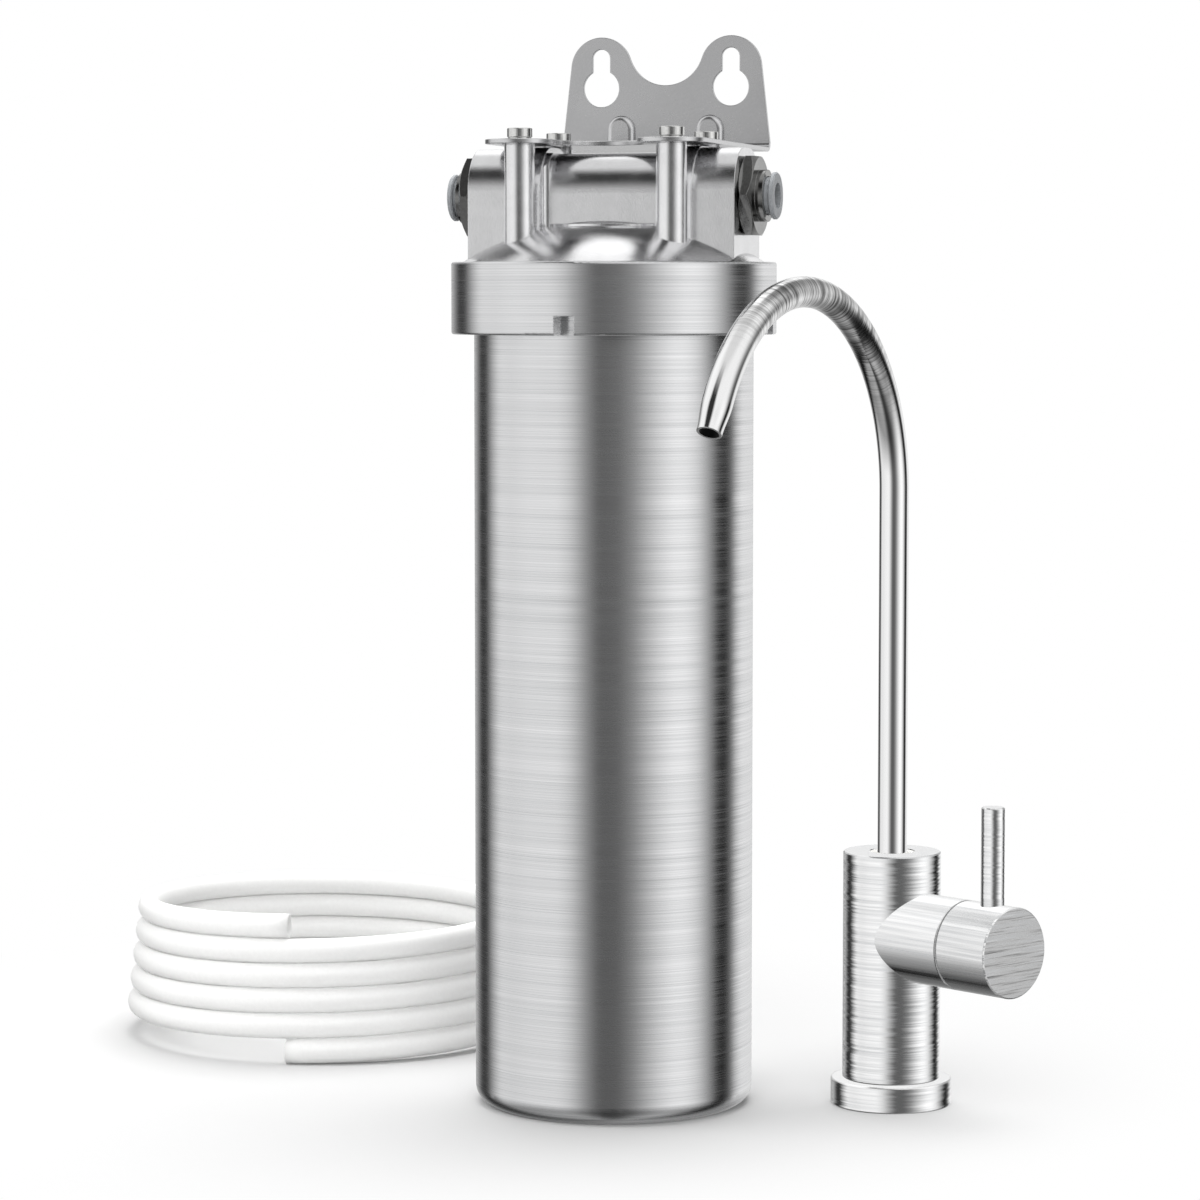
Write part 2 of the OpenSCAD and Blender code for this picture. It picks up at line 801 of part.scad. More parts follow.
module faucet_body() {
    color("silver") difference() {
        union() {
            at_faucet() {
                chamfered_disc(body_r, body_top - base_h, edge, base_h);
                translate([0, 0, neck_z]) cylinder(r = neck_r, h = base_h - neck_z + over);
            }
            along_valve() cylinder(r = barrel_r, h = barrel_l);
        }
        at_faucet() {
            translate([0, 0, neck_z - over]) cylinder(r = shank_r, h = shank_l + over);
            translate([0, 0, neck_z]) cylinder(r = inlet_way_r, h = valve_z - valve_way_off - neck_z);
            translate([0, 0, socket_z]) cylinder(r = socket_r, h = body_top - socket_z + over);
        }
        along_valve() {
            for (s = [-1, 1]) translate([s * valve_way_off, 0, 0])
                cylinder(r = valve_way_r, h = cavity_u + over);
            translate([0, 0, cavity_u]) cylinder(r = cavity_r, h = barrel_l - cavity_u + over);
            translate([0, 0, nut_u - over]) cylinder(r = mouth_r, h = barrel_l - nut_u + 2 * over);
        }
    }
}

module spout_bush() {
    color("whitesmoke") at_faucet()
        ring(socket_r - push_gap / 2, spout_out_r + shaft_gap, body_top - bush_recess - bush_z, bush_z);
}

module valve_cartridge() {
    neck = spindle_r + 2.5;
    color("goldenrod") along_valve() difference() {
        union() {
            ring(shell_r, disc_room_r, room_end_u - fixed_u + over, fixed_u);
            ring(shell_r, 0, shoulder_u - room_end_u, room_end_u);
            ring(neck, 0, shell_end_u - shoulder_u + over, shoulder_u - over);
        }
        translate([0, 0, room_end_u - over])
            cylinder(r = spindle_bore_r, h = shell_end_u - room_end_u + 2 * over);
    }
}

module cartridge_nut() {
    color("goldenrod") along_valve() ring(nut_r, spindle_r + 2.5 + seat_gap, nut_t, nut_u);
}

module fixed_disc() {
    color("whitesmoke") along_valve() difference() {
        ring(disc_r, 0, disc_t, fixed_u);
        for (s = [-1, 1]) translate([s * valve_way_off, 0, fixed_u - over])
            cylinder(r = valve_way_r, h = disc_t + 2 * over);
    }
}

module moving_disc() {
    pocket = 2 * (valve_way_off + valve_way_r);
    color("whitesmoke") along_valve() difference() {
        ring(disc_r, 0, disc_t, moving_u);
        translate([-valve_way_r, -pocket / 2, moving_u - over])
            cube([2 * valve_way_r, pocket, disc_t / 2 + over]);
    }
}

module valve_spindle() {
    color("goldenrod") along_valve() union() {
        ring(disc_r - 0.5, 0, drive_t, drive_u);
        ring(spindle_r, 0, spindle_end_u - drive_u - drive_t + drive_t / 2, drive_u + drive_t / 2);
    }
}

module handle_cap() {
    color("silver") along_valve() difference() {
        chamfered_disc(barrel_r, handle_l, edge, handle_u);
        translate([0, 0, handle_u - over])
            cylinder(r = spindle_bore_r, h = spindle_end_u - handle_u + over + seat_gap);
        translate([-lever_foot, 0, lever_u]) rotate([0, -90, 0])
            cylinder(r = lever_r + push_gap, h = barrel_r);
        translate([0, 0, grub_u]) rotate([0, 90, 0]) cylinder(r = grub_r + push_gap, h = barrel_r + over);
    }
}

module lever() {
    color("silver") along_valve() translate([0, 0, lever_u]) rotate([0, -90, 0])
        chamfered_disc(lever_r, lever_h - lever_foot - push_gap, edge, lever_foot + push_gap);
}

module grub_screw() {
    color("gray") along_valve() translate([0, 0, grub_u]) rotate([0, 90, 0])
        ring(grub_r, 0, barrel_r - spindle_r - 2, spindle_r + push_gap);
}

// The spout's section, with its wall swelled a little both ways where it ends
module spout_outline(swell) {
    difference() {
        circle(r = spout_out_r + swell);
        circle(r = spout_out_r - spout_wall - swell);
    }
}

module spout() {
    foot_z = ferrule_z + 1;
    color("silver") along_spout() union() {
        translate([0, 0, foot_z]) linear_extrude(spout_rise - foot_z) spout_outline(0);
        translate([spout_r, 0, spout_rise]) rotate([90, 0, 180]) {
            rotate_extrude(angle = spout_bend) translate([spout_r, 0]) spout_outline(0);
            rotate([0, 0, spout_bend]) translate([spout_r, 0, 0]) rotate([-90, 0, 0]) {
                translate([0, 0, -over]) linear_extrude(spout_end + over) spout_outline(tip_step);
                translate([0, 0, spout_end]) difference() {
                    cylinder(r1 = spout_out_r + tip_step, r2 = tip_d / 2, h = tip_l);
                    translate([0, 0, -over]) cylinder(r = tip_bore_r, h = tip_l + 2 * over);
                }
            }
        }
    }
}

module spout_ferrule() {
    color("goldenrod") at_faucet() difference() {
        ring(ferrule_r, spout_out_r + push_gap / 2, ferrule_h, ferrule_z);
        for (f = spout_seal_at)
            ring(ferrule_r + over, ferrule_groove_r, bush_groove_w,
                ferrule_z + f * ferrule_h - bush_groove_w / 2);
    }
}

module spout_seals() {
    color("#1c1c1c") at_faucet() for (f = spout_seal_at)
        seal(spout_seal_mid_r, spout_seal_cs, ferrule_z + f * ferrule_h);
}

// Tubing coil: one tube wound upwards, each turn lying on the one below

function coil_angle(i) = coil_start + 360 * i / coil_rings;

function coil_radius(i) = coil_r - coil_taper * i / coil_rings;

function coil_point(i) =
    let (a = coil_angle(i), r = coil_radius(i))
    [coil_x + r * cos(a), coil_y + r * sin(a), tube_r + coil_pitch * i / coil_rings];

// One corner of the tube's section at step i
function coil_corner(i, k) =
    let (a = coil_angle(i), b = 360 * (k + 0.5) / coil_sides, out = tube_r * cos(b))
    coil_point(i) + [out * cos(a), out * sin(a), tube_r * sin(b)];

module tubing_coil() {
    n = coil_sides;
    points = [for (i = [0 : coil_steps], k = [0 : n - 1]) coil_corner(i, k)];
    sides = [for (i = [0 : coil_steps - 1], k = [0 : n - 1], half = [0, 1])
        let (a = i * n + k, b = i * n + (k + 1) % n)
        half == 0 ? [a, b, b + n] : [a, b + n, a + n]];
    first = [for (k = [1 : n - 2]) [0, k + 1, k]];
    last = [for (k = [1 : n - 2]) [0, k, k + 1] + coil_steps * n * [1, 1, 1]];
    color("white") polyhedron(points = points, faces = concat(first, sides, last), convexity = 10);
}

coil_route = [for (i = [0 : coil_steps]) coil_point(i)];
coil_length = [for (i = [0 : coil_steps - 1]) norm(coil_route[i + 1] - coil_route[i])];
coil_spaces = [for (i = [0 : coil_steps], j = [i + coil_rings / 2 : coil_steps])
    norm(coil_route[j] - coil_route[i]) - tube_d];
echo("Length of the tubing", coil_length * [for (s = coil_length) 1]);
echo("Least gap between the coil's turns", min(coil_spaces));

canister();
cartridge_seat();
bottom_gasket();
bottom_end_cap();
carbon_block();
core_tube();
filter_wrap();
top_end_cap();
top_gasket();
ring_nut();
head();
head_seal();
wall_bracket();
bracket_bolts();
lock_washers();
inlet_fitting();
outlet_fitting();
port_seals();
tube_seals();
grab_rings();
inlet_collet();
outlet_collet();
faucet_base();
base_gasket();
faucet_body();
spout_bush();
valve_cartridge();
fixed_disc();
cartridge_nut();
spout();
spout_ferrule();
spout_seals();
handle_cap();
lever();
grub_screw();
valve_spindle();
moving_disc();
tubing_coil();
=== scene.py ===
"""Under-sink water filter: a steel canister with its head and wall bracket, a faucet and a coil of tubing."""
import math
import bmesh
import bpy
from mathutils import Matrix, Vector


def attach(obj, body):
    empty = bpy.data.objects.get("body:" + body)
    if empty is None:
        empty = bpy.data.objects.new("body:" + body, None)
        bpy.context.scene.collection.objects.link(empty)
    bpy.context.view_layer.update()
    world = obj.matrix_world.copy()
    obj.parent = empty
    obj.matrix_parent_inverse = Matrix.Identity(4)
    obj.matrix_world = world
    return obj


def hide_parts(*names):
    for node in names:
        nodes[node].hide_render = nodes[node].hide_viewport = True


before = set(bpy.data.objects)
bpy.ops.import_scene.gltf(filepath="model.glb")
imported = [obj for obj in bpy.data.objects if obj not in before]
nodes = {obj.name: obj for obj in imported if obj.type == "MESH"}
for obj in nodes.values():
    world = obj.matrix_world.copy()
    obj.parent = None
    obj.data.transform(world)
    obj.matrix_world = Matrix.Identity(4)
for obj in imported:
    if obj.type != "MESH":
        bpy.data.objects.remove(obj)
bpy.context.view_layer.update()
scene = bpy.context.scene
scene.view_settings.view_transform = "Standard"

# All lengths are in metres
MM = 0.001

# The tubing and its coil, which climbs and narrows from turn to turn
TUBE_R = 0.004
TUBE_BORE_R = TUBE_R - 1.2 * MM
TUBE_LIP_R = TUBE_R - 0.25 * MM
TUBE_OVAL = 1.055
TUBE_SIDES = 28
COIL_MIDDLE = Vector((-0.1328, 0.0951, 0.0))
COIL_R = 0.0692
COIL_TAPER = 0.001
COIL_PITCH = 0.0085
COIL_TURNS = 5
COIL_START = math.radians(-82.5)
RINGS_PER_TURN = 72
RINGS_IN_HOLE = 3

# The faucet: its axis, the valve that leaves its body sideways, and the spout
FAUCET = Vector((0.0881, 0.020, 0.0))
BODY_R = 0.0158
VALVE_TURN = math.radians(-32)
VALVE_WAY = Vector((math.cos(VALVE_TURN), math.sin(VALVE_TURN), 0.0))
BARREL_END = 0.0326
HANDLE_END = 0.0534
SPOUT_FOOT = 0.063
SPOUT_RISE = 0.199
SPOUT_BEND_R = 0.064
SPOUT_BEND = math.radians(150)
SPOUT_TURN = math.radians(-104)
SPOUT_WAY = Vector((math.cos(SPOUT_TURN), math.sin(SPOUT_TURN), 0.0))
SPOUT_R = 0.00475
SPOUT_BORE_R = 0.00395
SPOUT_END = 0.005
SPOUT_RINGS = 260
SPOUT_SIDES = 48
TIP_LENGTH = 0.006
TIP_R = 0.0039
TIP_TAPER = TIP_LENGTH + 4 * MM

# Where the bending left its rings on the spout, measured along it from its foot
MARKS_START = (0.150, 0.205)
MARKS_END = (0.255, 0.295)

# The four bolts and lock washers, on a rectangle of bosses
BOSS_DX = 0.050
BOSS_DY = 0.043
BOLT_HEAD_Z = 0.3119
BOLT_HEAD_H = 0.003
BOLT_HEAD_R = 0.004
BOLT_R = 0.0025
BOLT_LENGTH = 0.0121
KEY_R = 2.3 * MM
KEY_DEPTH = 1.6 * MM
WASHER_T = 0.0006
WASHER_PLAY = 0.02 * MM
WASHER_RING_R = 3.15 * MM
WASHER_WIDTH = 1.1 * MM
WASHER_START = math.radians(35)
WASHER_SWEEP = math.radians(350)

# The front face of the bracket's gussets, and how round they and, by a share of it, its cut edges are
GUSSET_FRONT = 0.0613
GUSSET_ROUND = 1.8 * MM
CUT_EDGE_SHARE = 0.15

# When the bracket's points lie on a face, when two of them are one, and when its faces meet flat or sharp
ON_FACE = 0.02 * MM
ONE_POINT = 0.002 * MM
FLAT_TURN = math.radians(0.5)
SHARP_TURN = math.radians(30)

# From this turn on, the edge of any other piece is a corner, and rounded
CORNER_TURN = math.radians(35)

# Where the photograph was taken from, measured from the canister's axis
VIEW_TURN = math.radians(15.879)
VIEW_DISTANCE = 1.2764
VIEW_HEIGHT = 0.2617
VIEW_PITCH = math.radians(4.395)
VIEW_YAW = math.radians(-0.201)
VIEW_LENS = 118.6
VIEW_RIGHT = Vector((math.cos(VIEW_TURN), math.sin(VIEW_TURN), 0.0))
VIEW_TOWARD = Vector((math.sin(VIEW_TURN), -math.cos(VIEW_TURN), 0.0))

# The studio that the steel shows, as (share of a turn, brightness); the turn starts behind the object and
# passes its left, the camera and its right
WALLS = [(0.0, 0.7), (0.02, 0.55), (0.05, 0.5), (0.08, 0.25), (0.105, 0.03), (0.14, 0.03), (0.168, 0.45),
         (0.197, 0.9), (0.24, 0.86), (0.30, 0.95), (0.37, 1.0), (0.40, 0.82), (0.437, 0.36), (0.465, 0.12),
         (0.51, 0.12), (0.545, 0.28), (0.605, 0.85), (0.64, 1.1), (0.67, 1.1), (0.70, 0.9), (0.735, 0.42),
         (0.765, 0.03), (0.792, 0.0), (0.815, 0.12), (0.84, 0.7), (0.865, 0.95), (0.93, 0.85), (1.0, 0.7)]
UPPER_WALLS = [(0.0, 1.35), (0.035, 1.3), (0.06, 0.85), (0.09, 0.85), (0.16, 1.05), (0.29, 0.95),
               (0.34, 0.03), (0.45, 0.03), (0.50, 0.95), (0.79, 0.95), (0.85, 0.3), (0.935, 0.3),
               (0.965, 1.35), (1.0, 1.35)]

# What is shown at each height, as (share of the way from straight down to straight up, share)
UPPER_SHARE = [(0.0, 0.0), (0.51, 0.0), (0.57, 0.3), (0.64, 0.75), (0.70, 1.0), (1.0, 1.0)]
CEILING_SHARE = [(0.0, 0.0), (0.80, 0.0), (0.90, 1.0), (1.0, 1.0)]
GROUND_SHARE = [(0.0, 0.45), (0.17, 0.44), (0.25, 0.34), (0.31, 0.33), (0.36, 0.58), (0.43, 1.0)]
CEILING = (0.75, 0.75, 0.75, 1.0)
WHITE = (1.0, 1.0, 1.0, 1.0)

# The share of the studio's light that falls on matt surfaces
MATT_SHARE = 0.4

# Each lamp's name, place, what it faces, its size and its power in watts
LAMPS = [
    ("top_panel", (-0.1, 0.44, 1.3), (-0.05, 0.05, 0.0), 1.2, 20.5),
    ("front_panel", VIEW_TOWARD * 1.5 + Vector((0, 0, 1.0)), (0.0, 0.0, 0.1), 1.2, 15.5),
    ("left_panel", (-0.9, -0.4, 1.0), (-0.13, 0.09, 0.0), 0.8, 7.0),
]

# The floor, and the point between the coil and the canister around which it keeps the shadows
FLOOR_R = 6.0
SHADOW_MIDDLE = (-0.08, 0.06, 0.0)
SHADOW_FULL = 0.12
SHADOW_GONE = 0.27

# The usual darkest and brightest values of the streaks' noise, and its wider span
STREAK_LOW = 0.32
STREAK_HIGH = 0.66
STREAK_SPAN = (0.25, 0.75)

# Brush marks on the faucet: how long they are, and how far apart on its body, along its valve and on its end
FAUCET_STREAK = 60 * MM
BODY_PITCH = 0.7 * MM
VALVE_PITCH = 0.9 * MM
END_STREAK = 30 * MM
END_PITCH = 0.8 * MM

# The worn rims at the valve's two ends: how wide, how round and how far turned
RIM_WIDTH = 0.42 * MM
RIM_ROUND = 0.2 * MM
RIM_TILT = (0.8, 0.8, 0.8)

# Only these solids show in the steel, because they touch what reflects them
SEEN_IN_STEEL = ("head", "ring_nut", "inlet_fitting", "outlet_fitting", "inlet_collet", "outlet_collet")


def colour(code):
    """A hex sRGB colour as linear values."""
    parts = [int(code[i:i + 2], 16) / 255 for i in (1, 3, 5)]
    return tuple(c / 12.92 if c <= 0.04045 else ((c + 0.055) / 1.055) ** 2.4 for c in parts) + (1.0,)


def put(tree, kind, settings=None, inputs=None):
    """Add a node, set its properties, and set or link its sockets."""
    node = tree.nodes.new(kind)
    for key, value in (settings or {}).items():
        if key == "stops":
            ramp = node.color_ramp.elements
            while len(ramp) < len(value):
                ramp.new(0.5)
            for element, (place, shade) in zip(ramp, value):
                element.position = place
                element.color = shade if isinstance(shade, tuple) else (shade, shade, shade, 1.0)
        else:
            setattr(node, key, value)
    for key, value in (inputs or {}).items():
        if isinstance(value, bpy.types.NodeSocket):
            tree.links.new(value, node.inputs[key])
        else:
            node.inputs[key].default_value = value
    return node


def new_material(name):
    """An empty material with its tree and its shader."""
    made = bpy.data.materials.new(name)
    made.use_nodes = True
    tree = made.node_tree
    tree.nodes.clear()
    shader = put(tree, "ShaderNodeBsdfPrincipled")
    put(tree, "ShaderNodeOutputMaterial", None, {"Surface": shader.outputs[0]})
    return made, tree, shader


# Camera and studio


def set_camera():
    """The camera at the photograph's place."""
    lens = bpy.data.cameras.new("photo_camera")
    lens.sensor_fit = "HORIZONTAL"
    lens.sensor_width = 36.0
    lens.lens = VIEW_LENS
    lens.clip_start = 0.01
    lens.clip_end = 50.0
    camera = bpy.data.objects.new("photo_camera", lens)
    scene.collection.objects.link(camera)
    level = -VIEW_TOWARD * math.cos(VIEW_YAW) + VIEW_RIGHT * math.sin(VIEW_YAW)
    ahead = level * math.cos(VIEW_PITCH) - Vector((0, 0, 1)) * math.sin(VIEW_PITCH)
    camera.location = VIEW_TOWARD * VIEW_DISTANCE + Vector((0, 0, VIEW_HEIGHT))
    camera.rotation_euler = ahead.to_track_quat("-Z", "Y").to_euler()
    scene.camera = camera


def studio_world():
    """A white studio: pale walls, an overhead panel, and dark flags that draw bands in the steel."""
    world = bpy.data.worlds.new("studio")
    scene.world = world
    world.use_nodes = True
    tree = world.node_tree
    tree.nodes.clear()
    way = put(tree, "ShaderNodeTexCoord").outputs["Generated"]
    across = put(tree, "ShaderNodeVectorMath", {"operation": "DOT_PRODUCT"}, {0: way, 1: VIEW_RIGHT})
    near = put(tree, "ShaderNodeVectorMath", {"operation": "DOT_PRODUCT"}, {0: way, 1: VIEW_TOWARD})
    turn = put(tree, "ShaderNodeMath", {"operation": "ARCTAN2"},
               {0: across.outputs["Value"], 1: near.outputs["Value"]})
    around = put(tree, "ShaderNodeMapRange", None,
                 {"Value": turn.outputs[0], "From Min": -math.pi, "From Max": math.pi})
    parts = put(tree, "ShaderNodeSeparateXYZ", None, {0: way})
    rise = put(tree, "ShaderNodeMath", {"operation": "ARCSINE"}, {0: parts.outputs["Z"]})
    height = put(tree, "ShaderNodeMapRange", None,
                 {"Value": rise.outputs[0], "From Min": -math.pi / 2, "From Max": math.pi / 2})
    walls = put(tree, "ShaderNodeValToRGB", {"stops": WALLS}, {"Fac": around.outputs[0]})
    upper = put(tree, "ShaderNodeValToRGB", {"stops": UPPER_WALLS}, {"Fac": around.outputs[0]})
    to_upper = put(tree, "ShaderNodeValToRGB", {"stops": UPPER_SHARE}, {"Fac": height.outputs[0]})
    to_ceiling = put(tree, "ShaderNodeValToRGB", {"stops": CEILING_SHARE}, {"Fac": height.outputs[0]})
    ground = put(tree, "ShaderNodeValToRGB", {"stops": GROUND_SHARE}, {"Fac": height.outputs[0]})
    both_walls = put(tree, "ShaderNodeMix", {"data_type": "RGBA"},
                     {0: to_upper.outputs[0], 6: walls.outputs[0], 7: upper.outputs[0]})
    with_ceiling = put(tree, "ShaderNodeMix", {"data_type": "RGBA"},
                       {0: to_ceiling.outputs[0], 6: both_walls.outputs[2], 7: CEILING})
    with_ground = put(tree, "ShaderNodeMix", {"data_type": "RGBA", "blend_type": "MULTIPLY"},
                      {0: 1.0, 6: with_ceiling.outputs[2], 7: ground.outputs[0]})
    path = put(tree, "ShaderNodeLightPath")
    dimmed = put(tree, "ShaderNodeMath", {"operation": "MULTIPLY_ADD"},
                 {0: path.outputs["Is Diffuse Ray"], 1: MATT_SHARE - 1.0, 2: 1.0})
    studio = put(tree, "ShaderNodeBackground", None,
                 {"Color": with_ground.outputs[2], "Strength": dimmed.outputs[0]})
    plain = put(tree, "ShaderNodeBackground", None, {"Color": WHITE, "Strength": 1.0})
    seen = put(tree, "ShaderNodeMixShader", None,
               {0: path.outputs["Is Camera Ray"], 1: studio.outputs[0], 2: plain.outputs[0]})
    put(tree, "ShaderNodeOutputWorld", None, {"Surface": seen.outputs[0]})


def studio_lamps():
    """Three soft lamps: a large one above, one over the camera and one at the left, on the coil's side."""
    for name, place, target, size, power in LAMPS:
        lamp = bpy.data.lights.new(name, "AREA")
        lamp.shape = "SQUARE"
        lamp.size = size
        lamp.energy = power
        holder = bpy.data.objects.new(name, lamp)
        scene.collection.objects.link(holder)
        holder.location = place
        holder.rotation_euler = (Vector(target) - Vector(place)).to_track_quat("-Z", "Y").to_euler()
        holder.visible_glossy = False


def studio_floor():
    """A plain pale sheet that only shadows mark, and that runs out to white around the object."""
    mesh = bpy.data.meshes.new("floor")
    shape = bmesh.new()
    bmesh.ops.create_circle(shape, cap_ends=True, radius=FLOOR_R, segments=96)
    shape.to_mesh(mesh)
    shape.free()
    floor = bpy.data.objects.new("floor", mesh)
    scene.collection.objects.link(floor)
    made, tree, shader = new_material("matt_white_paper")
    shader.inputs["Base Color"].default_value = colour("#cfcfcf")
    shader.inputs["Roughness"].default_value = 0.9
    shader.inputs["Specular IOR Level"].default_value = 0.1
    where = put(tree, "ShaderNodeTexCoord").outputs["Object"]
    away = put(tree, "ShaderNodeVectorMath", {"operation": "DISTANCE"}, {0: where, 1: SHADOW_MIDDLE})
    fade = put(tree, "ShaderNodeMapRange", {"interpolation_type": "SMOOTHSTEP"},
               {"Value": away.outputs["Value"], "From Min": SHADOW_FULL, "From Max": SHADOW_GONE})
    white = put(tree, "ShaderNodeEmission", None, {"Color": WHITE, "Strength": 1.0})
    path = put(tree, "ShaderNodeLightPath")
    only_seen = put(tree, "ShaderNodeMath", {"operation": "MULTIPLY"},
                    {0: fade.outputs[0], 1: path.outputs["Is Camera Ray"]})
    both = put(tree, "ShaderNodeMixShader", None,
               {0: only_seen.outputs[0], 1: shader.outputs[0], 2: white.outputs[0]})
    tree.links.new(both.outputs[0], tree.nodes["Material Output"].inputs["Surface"])
    mesh.materials.append(made)
    floor.visible_glossy = False


# Materials


def dress(tree, shader, tone, matt, normal):
    """Give a shader its colour, its roughness and its normal."""
    for socket, source in (("Base Color", tone), ("Roughness", matt), ("Normal", normal)):
        tree.links.new(source.outputs[0], shader.inputs[socket])


def brush_lines(tree, where, stretch, seed, detail=3.0):
    """Streaks: noise that runs fast across the brush marks and slowly along them."""
    moved = put(tree, "ShaderNodeMapping", None,
                {"Vector": where, "Scale": stretch, "Location": (seed, seed * 0.7, seed * 1.3)})
    return put(tree, "ShaderNodeTexNoise", {"noise_dimensions": "3D"},
               {"Vector": moved.outputs[0], "Scale": 1.0, "Detail": detail, "Roughness": 0.6}).outputs[0]


def brush(tree, shader, lines, edge, tones, gloss, skew, lean, dent, fan=0.0, zone=None):
    """Brushed steel from its streaks: each has its tone and gloss, and turns the light a little sideways.

    The skew is the turn that all streaks share, the lean is how far one may depart from it, and the fan is
    what the turn gains from the middle to the right edge. A zone, where there is one, is brushed along the
    valve's axis instead of around an upright one.
    """
    tone = put(tree, "ShaderNodeValToRGB",
               {"stops": [(STREAK_LOW, colour(tones[0])), (STREAK_HIGH, colour(tones[1]))]}, {"Fac": lines})
    matt = put(tree, "ShaderNodeMapRange", None,
               {"Value": lines, "From Min": STREAK_LOW, "From Max": STREAK_HIGH,
                "To Min": gloss[0], "To Max": gloss[1]})
    around = put(tree, "ShaderNodeVectorMath", {"operation": "CROSS_PRODUCT"}, {0: (0.0, 0.0, 1.0), 1: edge})
    sway = put(tree, "ShaderNodeMapRange", {"clamp": False},
               {"Value": lines, "From Min": STREAK_SPAN[0], "From Max": STREAK_SPAN[1],
                "To Min": skew - lean, "To Max": skew + lean})
    facing = put(tree, "ShaderNodeVectorMath", {"operation": "DOT_PRODUCT"}, {0: edge, 1: VIEW_RIGHT})
    fanned = put(tree, "ShaderNodeMath", {"operation": "MULTIPLY_ADD"},
                 {0: facing.outputs["Value"], 1: fan, 2: sway.outputs[0]})
    push = put(tree, "ShaderNodeVectorMath", {"operation": "SCALE"},
               {0: around.outputs[0], "Scale": fanned.outputs[0]})
    swayed = put(tree, "ShaderNodeVectorMath", {"operation": "ADD"}, {0: edge, 1: push.outputs[0]}).outputs[0]
    spread = put(tree, "ShaderNodeCombineXYZ", None, {"Z": 1.0}).outputs[0]
    if zone is not None:
        swayed = put(tree, "ShaderNodeMix", {"data_type": "VECTOR"}, {0: zone, 4: swayed, 5: edge}).outputs[1]
        turned = put(tree, "ShaderNodeVectorMath", {"operation": "CROSS_PRODUCT"}, {0: VALVE_WAY, 1: edge})
        spread = put(tree, "ShaderNodeMix", {"data_type": "VECTOR"},
                     {0: zone, 4: spread, 5: turned.outputs[0]}).outputs[1]
    even = put(tree, "ShaderNodeVectorMath", {"operation": "NORMALIZE"}, {0: swayed})
    bump = put(tree, "ShaderNodeBump", None,
               {"Strength": dent, "Distance": 0.05 * MM, "Height": lines, "Normal": even.outputs[0]})
    shader.inputs["Metallic"].default_value = 1.0
    shader.inputs["Anisotropic"].default_value = 0.6
    dress(tree, shader, tone, matt, bump)
    tree.links.new(spread, shader.inputs["Tangent"])


def brushed_round_steel(name, tones, gloss, pitch, streak, skew, lean, dent, fan=0.0):
    """304 stainless steel, brushed round and round: upright bands with fine level lines.

    The real lines lie about 0.1 mm apart; they are drawn wider, at the pitch, so that they show.
    """
    made, tree, shader = new_material(name)
    where = put(tree, "ShaderNodeTexCoord").outputs["Object"]
    fine = brush_lines(tree, where, (1 / streak, 1 / streak, 1 / pitch), 3.1)
    broad = brush_lines(tree, where, (0.6 / streak, 0.6 / streak, 0.16 / pitch), 7.7, 2.0)
    lines = put(tree, "ShaderNodeMix", {"data_type": "FLOAT"}, {0: 0.3, 2: fine, 3: broad}).outputs[0]
    edge = put(tree, "ShaderNodeBevel", {"samples": 4}, {"Radius": 0.4 * MM}).outputs[0]
    brush(tree, shader, lines, edge, tones, gloss, skew, lean, dent, fan)
    return made


def plain_metal(name, low, high, grain, rough, spread, dent, edge_round):
    """Satin or bright metal: fine grain from blasting, rolling or plating, and softened edges."""
    made, tree, shader = new_material(name)
    where = put(tree, "ShaderNodeTexCoord").outputs["Object"]
    specks = put(tree, "ShaderNodeTexNoise", None, {"Vector": where, "Scale": 1 / grain, "Detail": 3.0})
    clouds = put(tree, "ShaderNodeTexNoise", None, {"Vector": where, "Scale": 0.06 / grain, "Detail": 2.0})
    half = put(tree, "ShaderNodeMath", {"operation": "MULTIPLY"}, {0: specks.outputs[0], 1: 0.5})
    both = put(tree, "ShaderNodeMath", {"operation": "MULTIPLY_ADD"},
               {0: clouds.outputs[0], 1: 0.5, 2: half.outputs[0]})
    tone = put(tree, "ShaderNodeValToRGB", {"stops": [(0.36, colour(low)), (0.64, colour(high))]},
               {"Fac": both.outputs[0]})
    matt = put(tree, "ShaderNodeMapRange", None,
               {"Value": both.outputs[0], "From Min": 0.35, "From Max": 0.65,
                "To Min": rough - spread, "To Max": rough + spread})
    edge = put(tree, "ShaderNodeBevel", {"samples": 4}, {"Radius": edge_round})
    bump = put(tree, "ShaderNodeBump", None,
               {"Strength": dent, "Distance": 0.1 * MM, "Height": specks.outputs[0],
                "Normal": edge.outputs[0]})
    shader.inputs["Metallic"].default_value = 1.0
    dress(tree, shader, tone, matt, bump)
    return made


def worn_rim(tree, inside):
    """The normal of a rim that wear has turned towards the valve's end, so that it shows as a bright line."""
    worn = put(tree, "ShaderNodeBevel", {"samples": 4}, {"Radius": RIM_ROUND}).outputs[0]
    rim = put(tree, "ShaderNodeVectorMath", {"operation": "MULTIPLY_ADD"},
              {0: VALVE_WAY, 1: RIM_TILT, 2: worn})
    either = put(tree, "ShaderNodeMix", {"data_type": "VECTOR"}, {0: inside, 4: rim.outputs[0], 5: worn})
    return put(tree, "ShaderNodeVectorMath", {"operation": "NORMALIZE"}, {0: either.outputs[1]}).outputs[0]


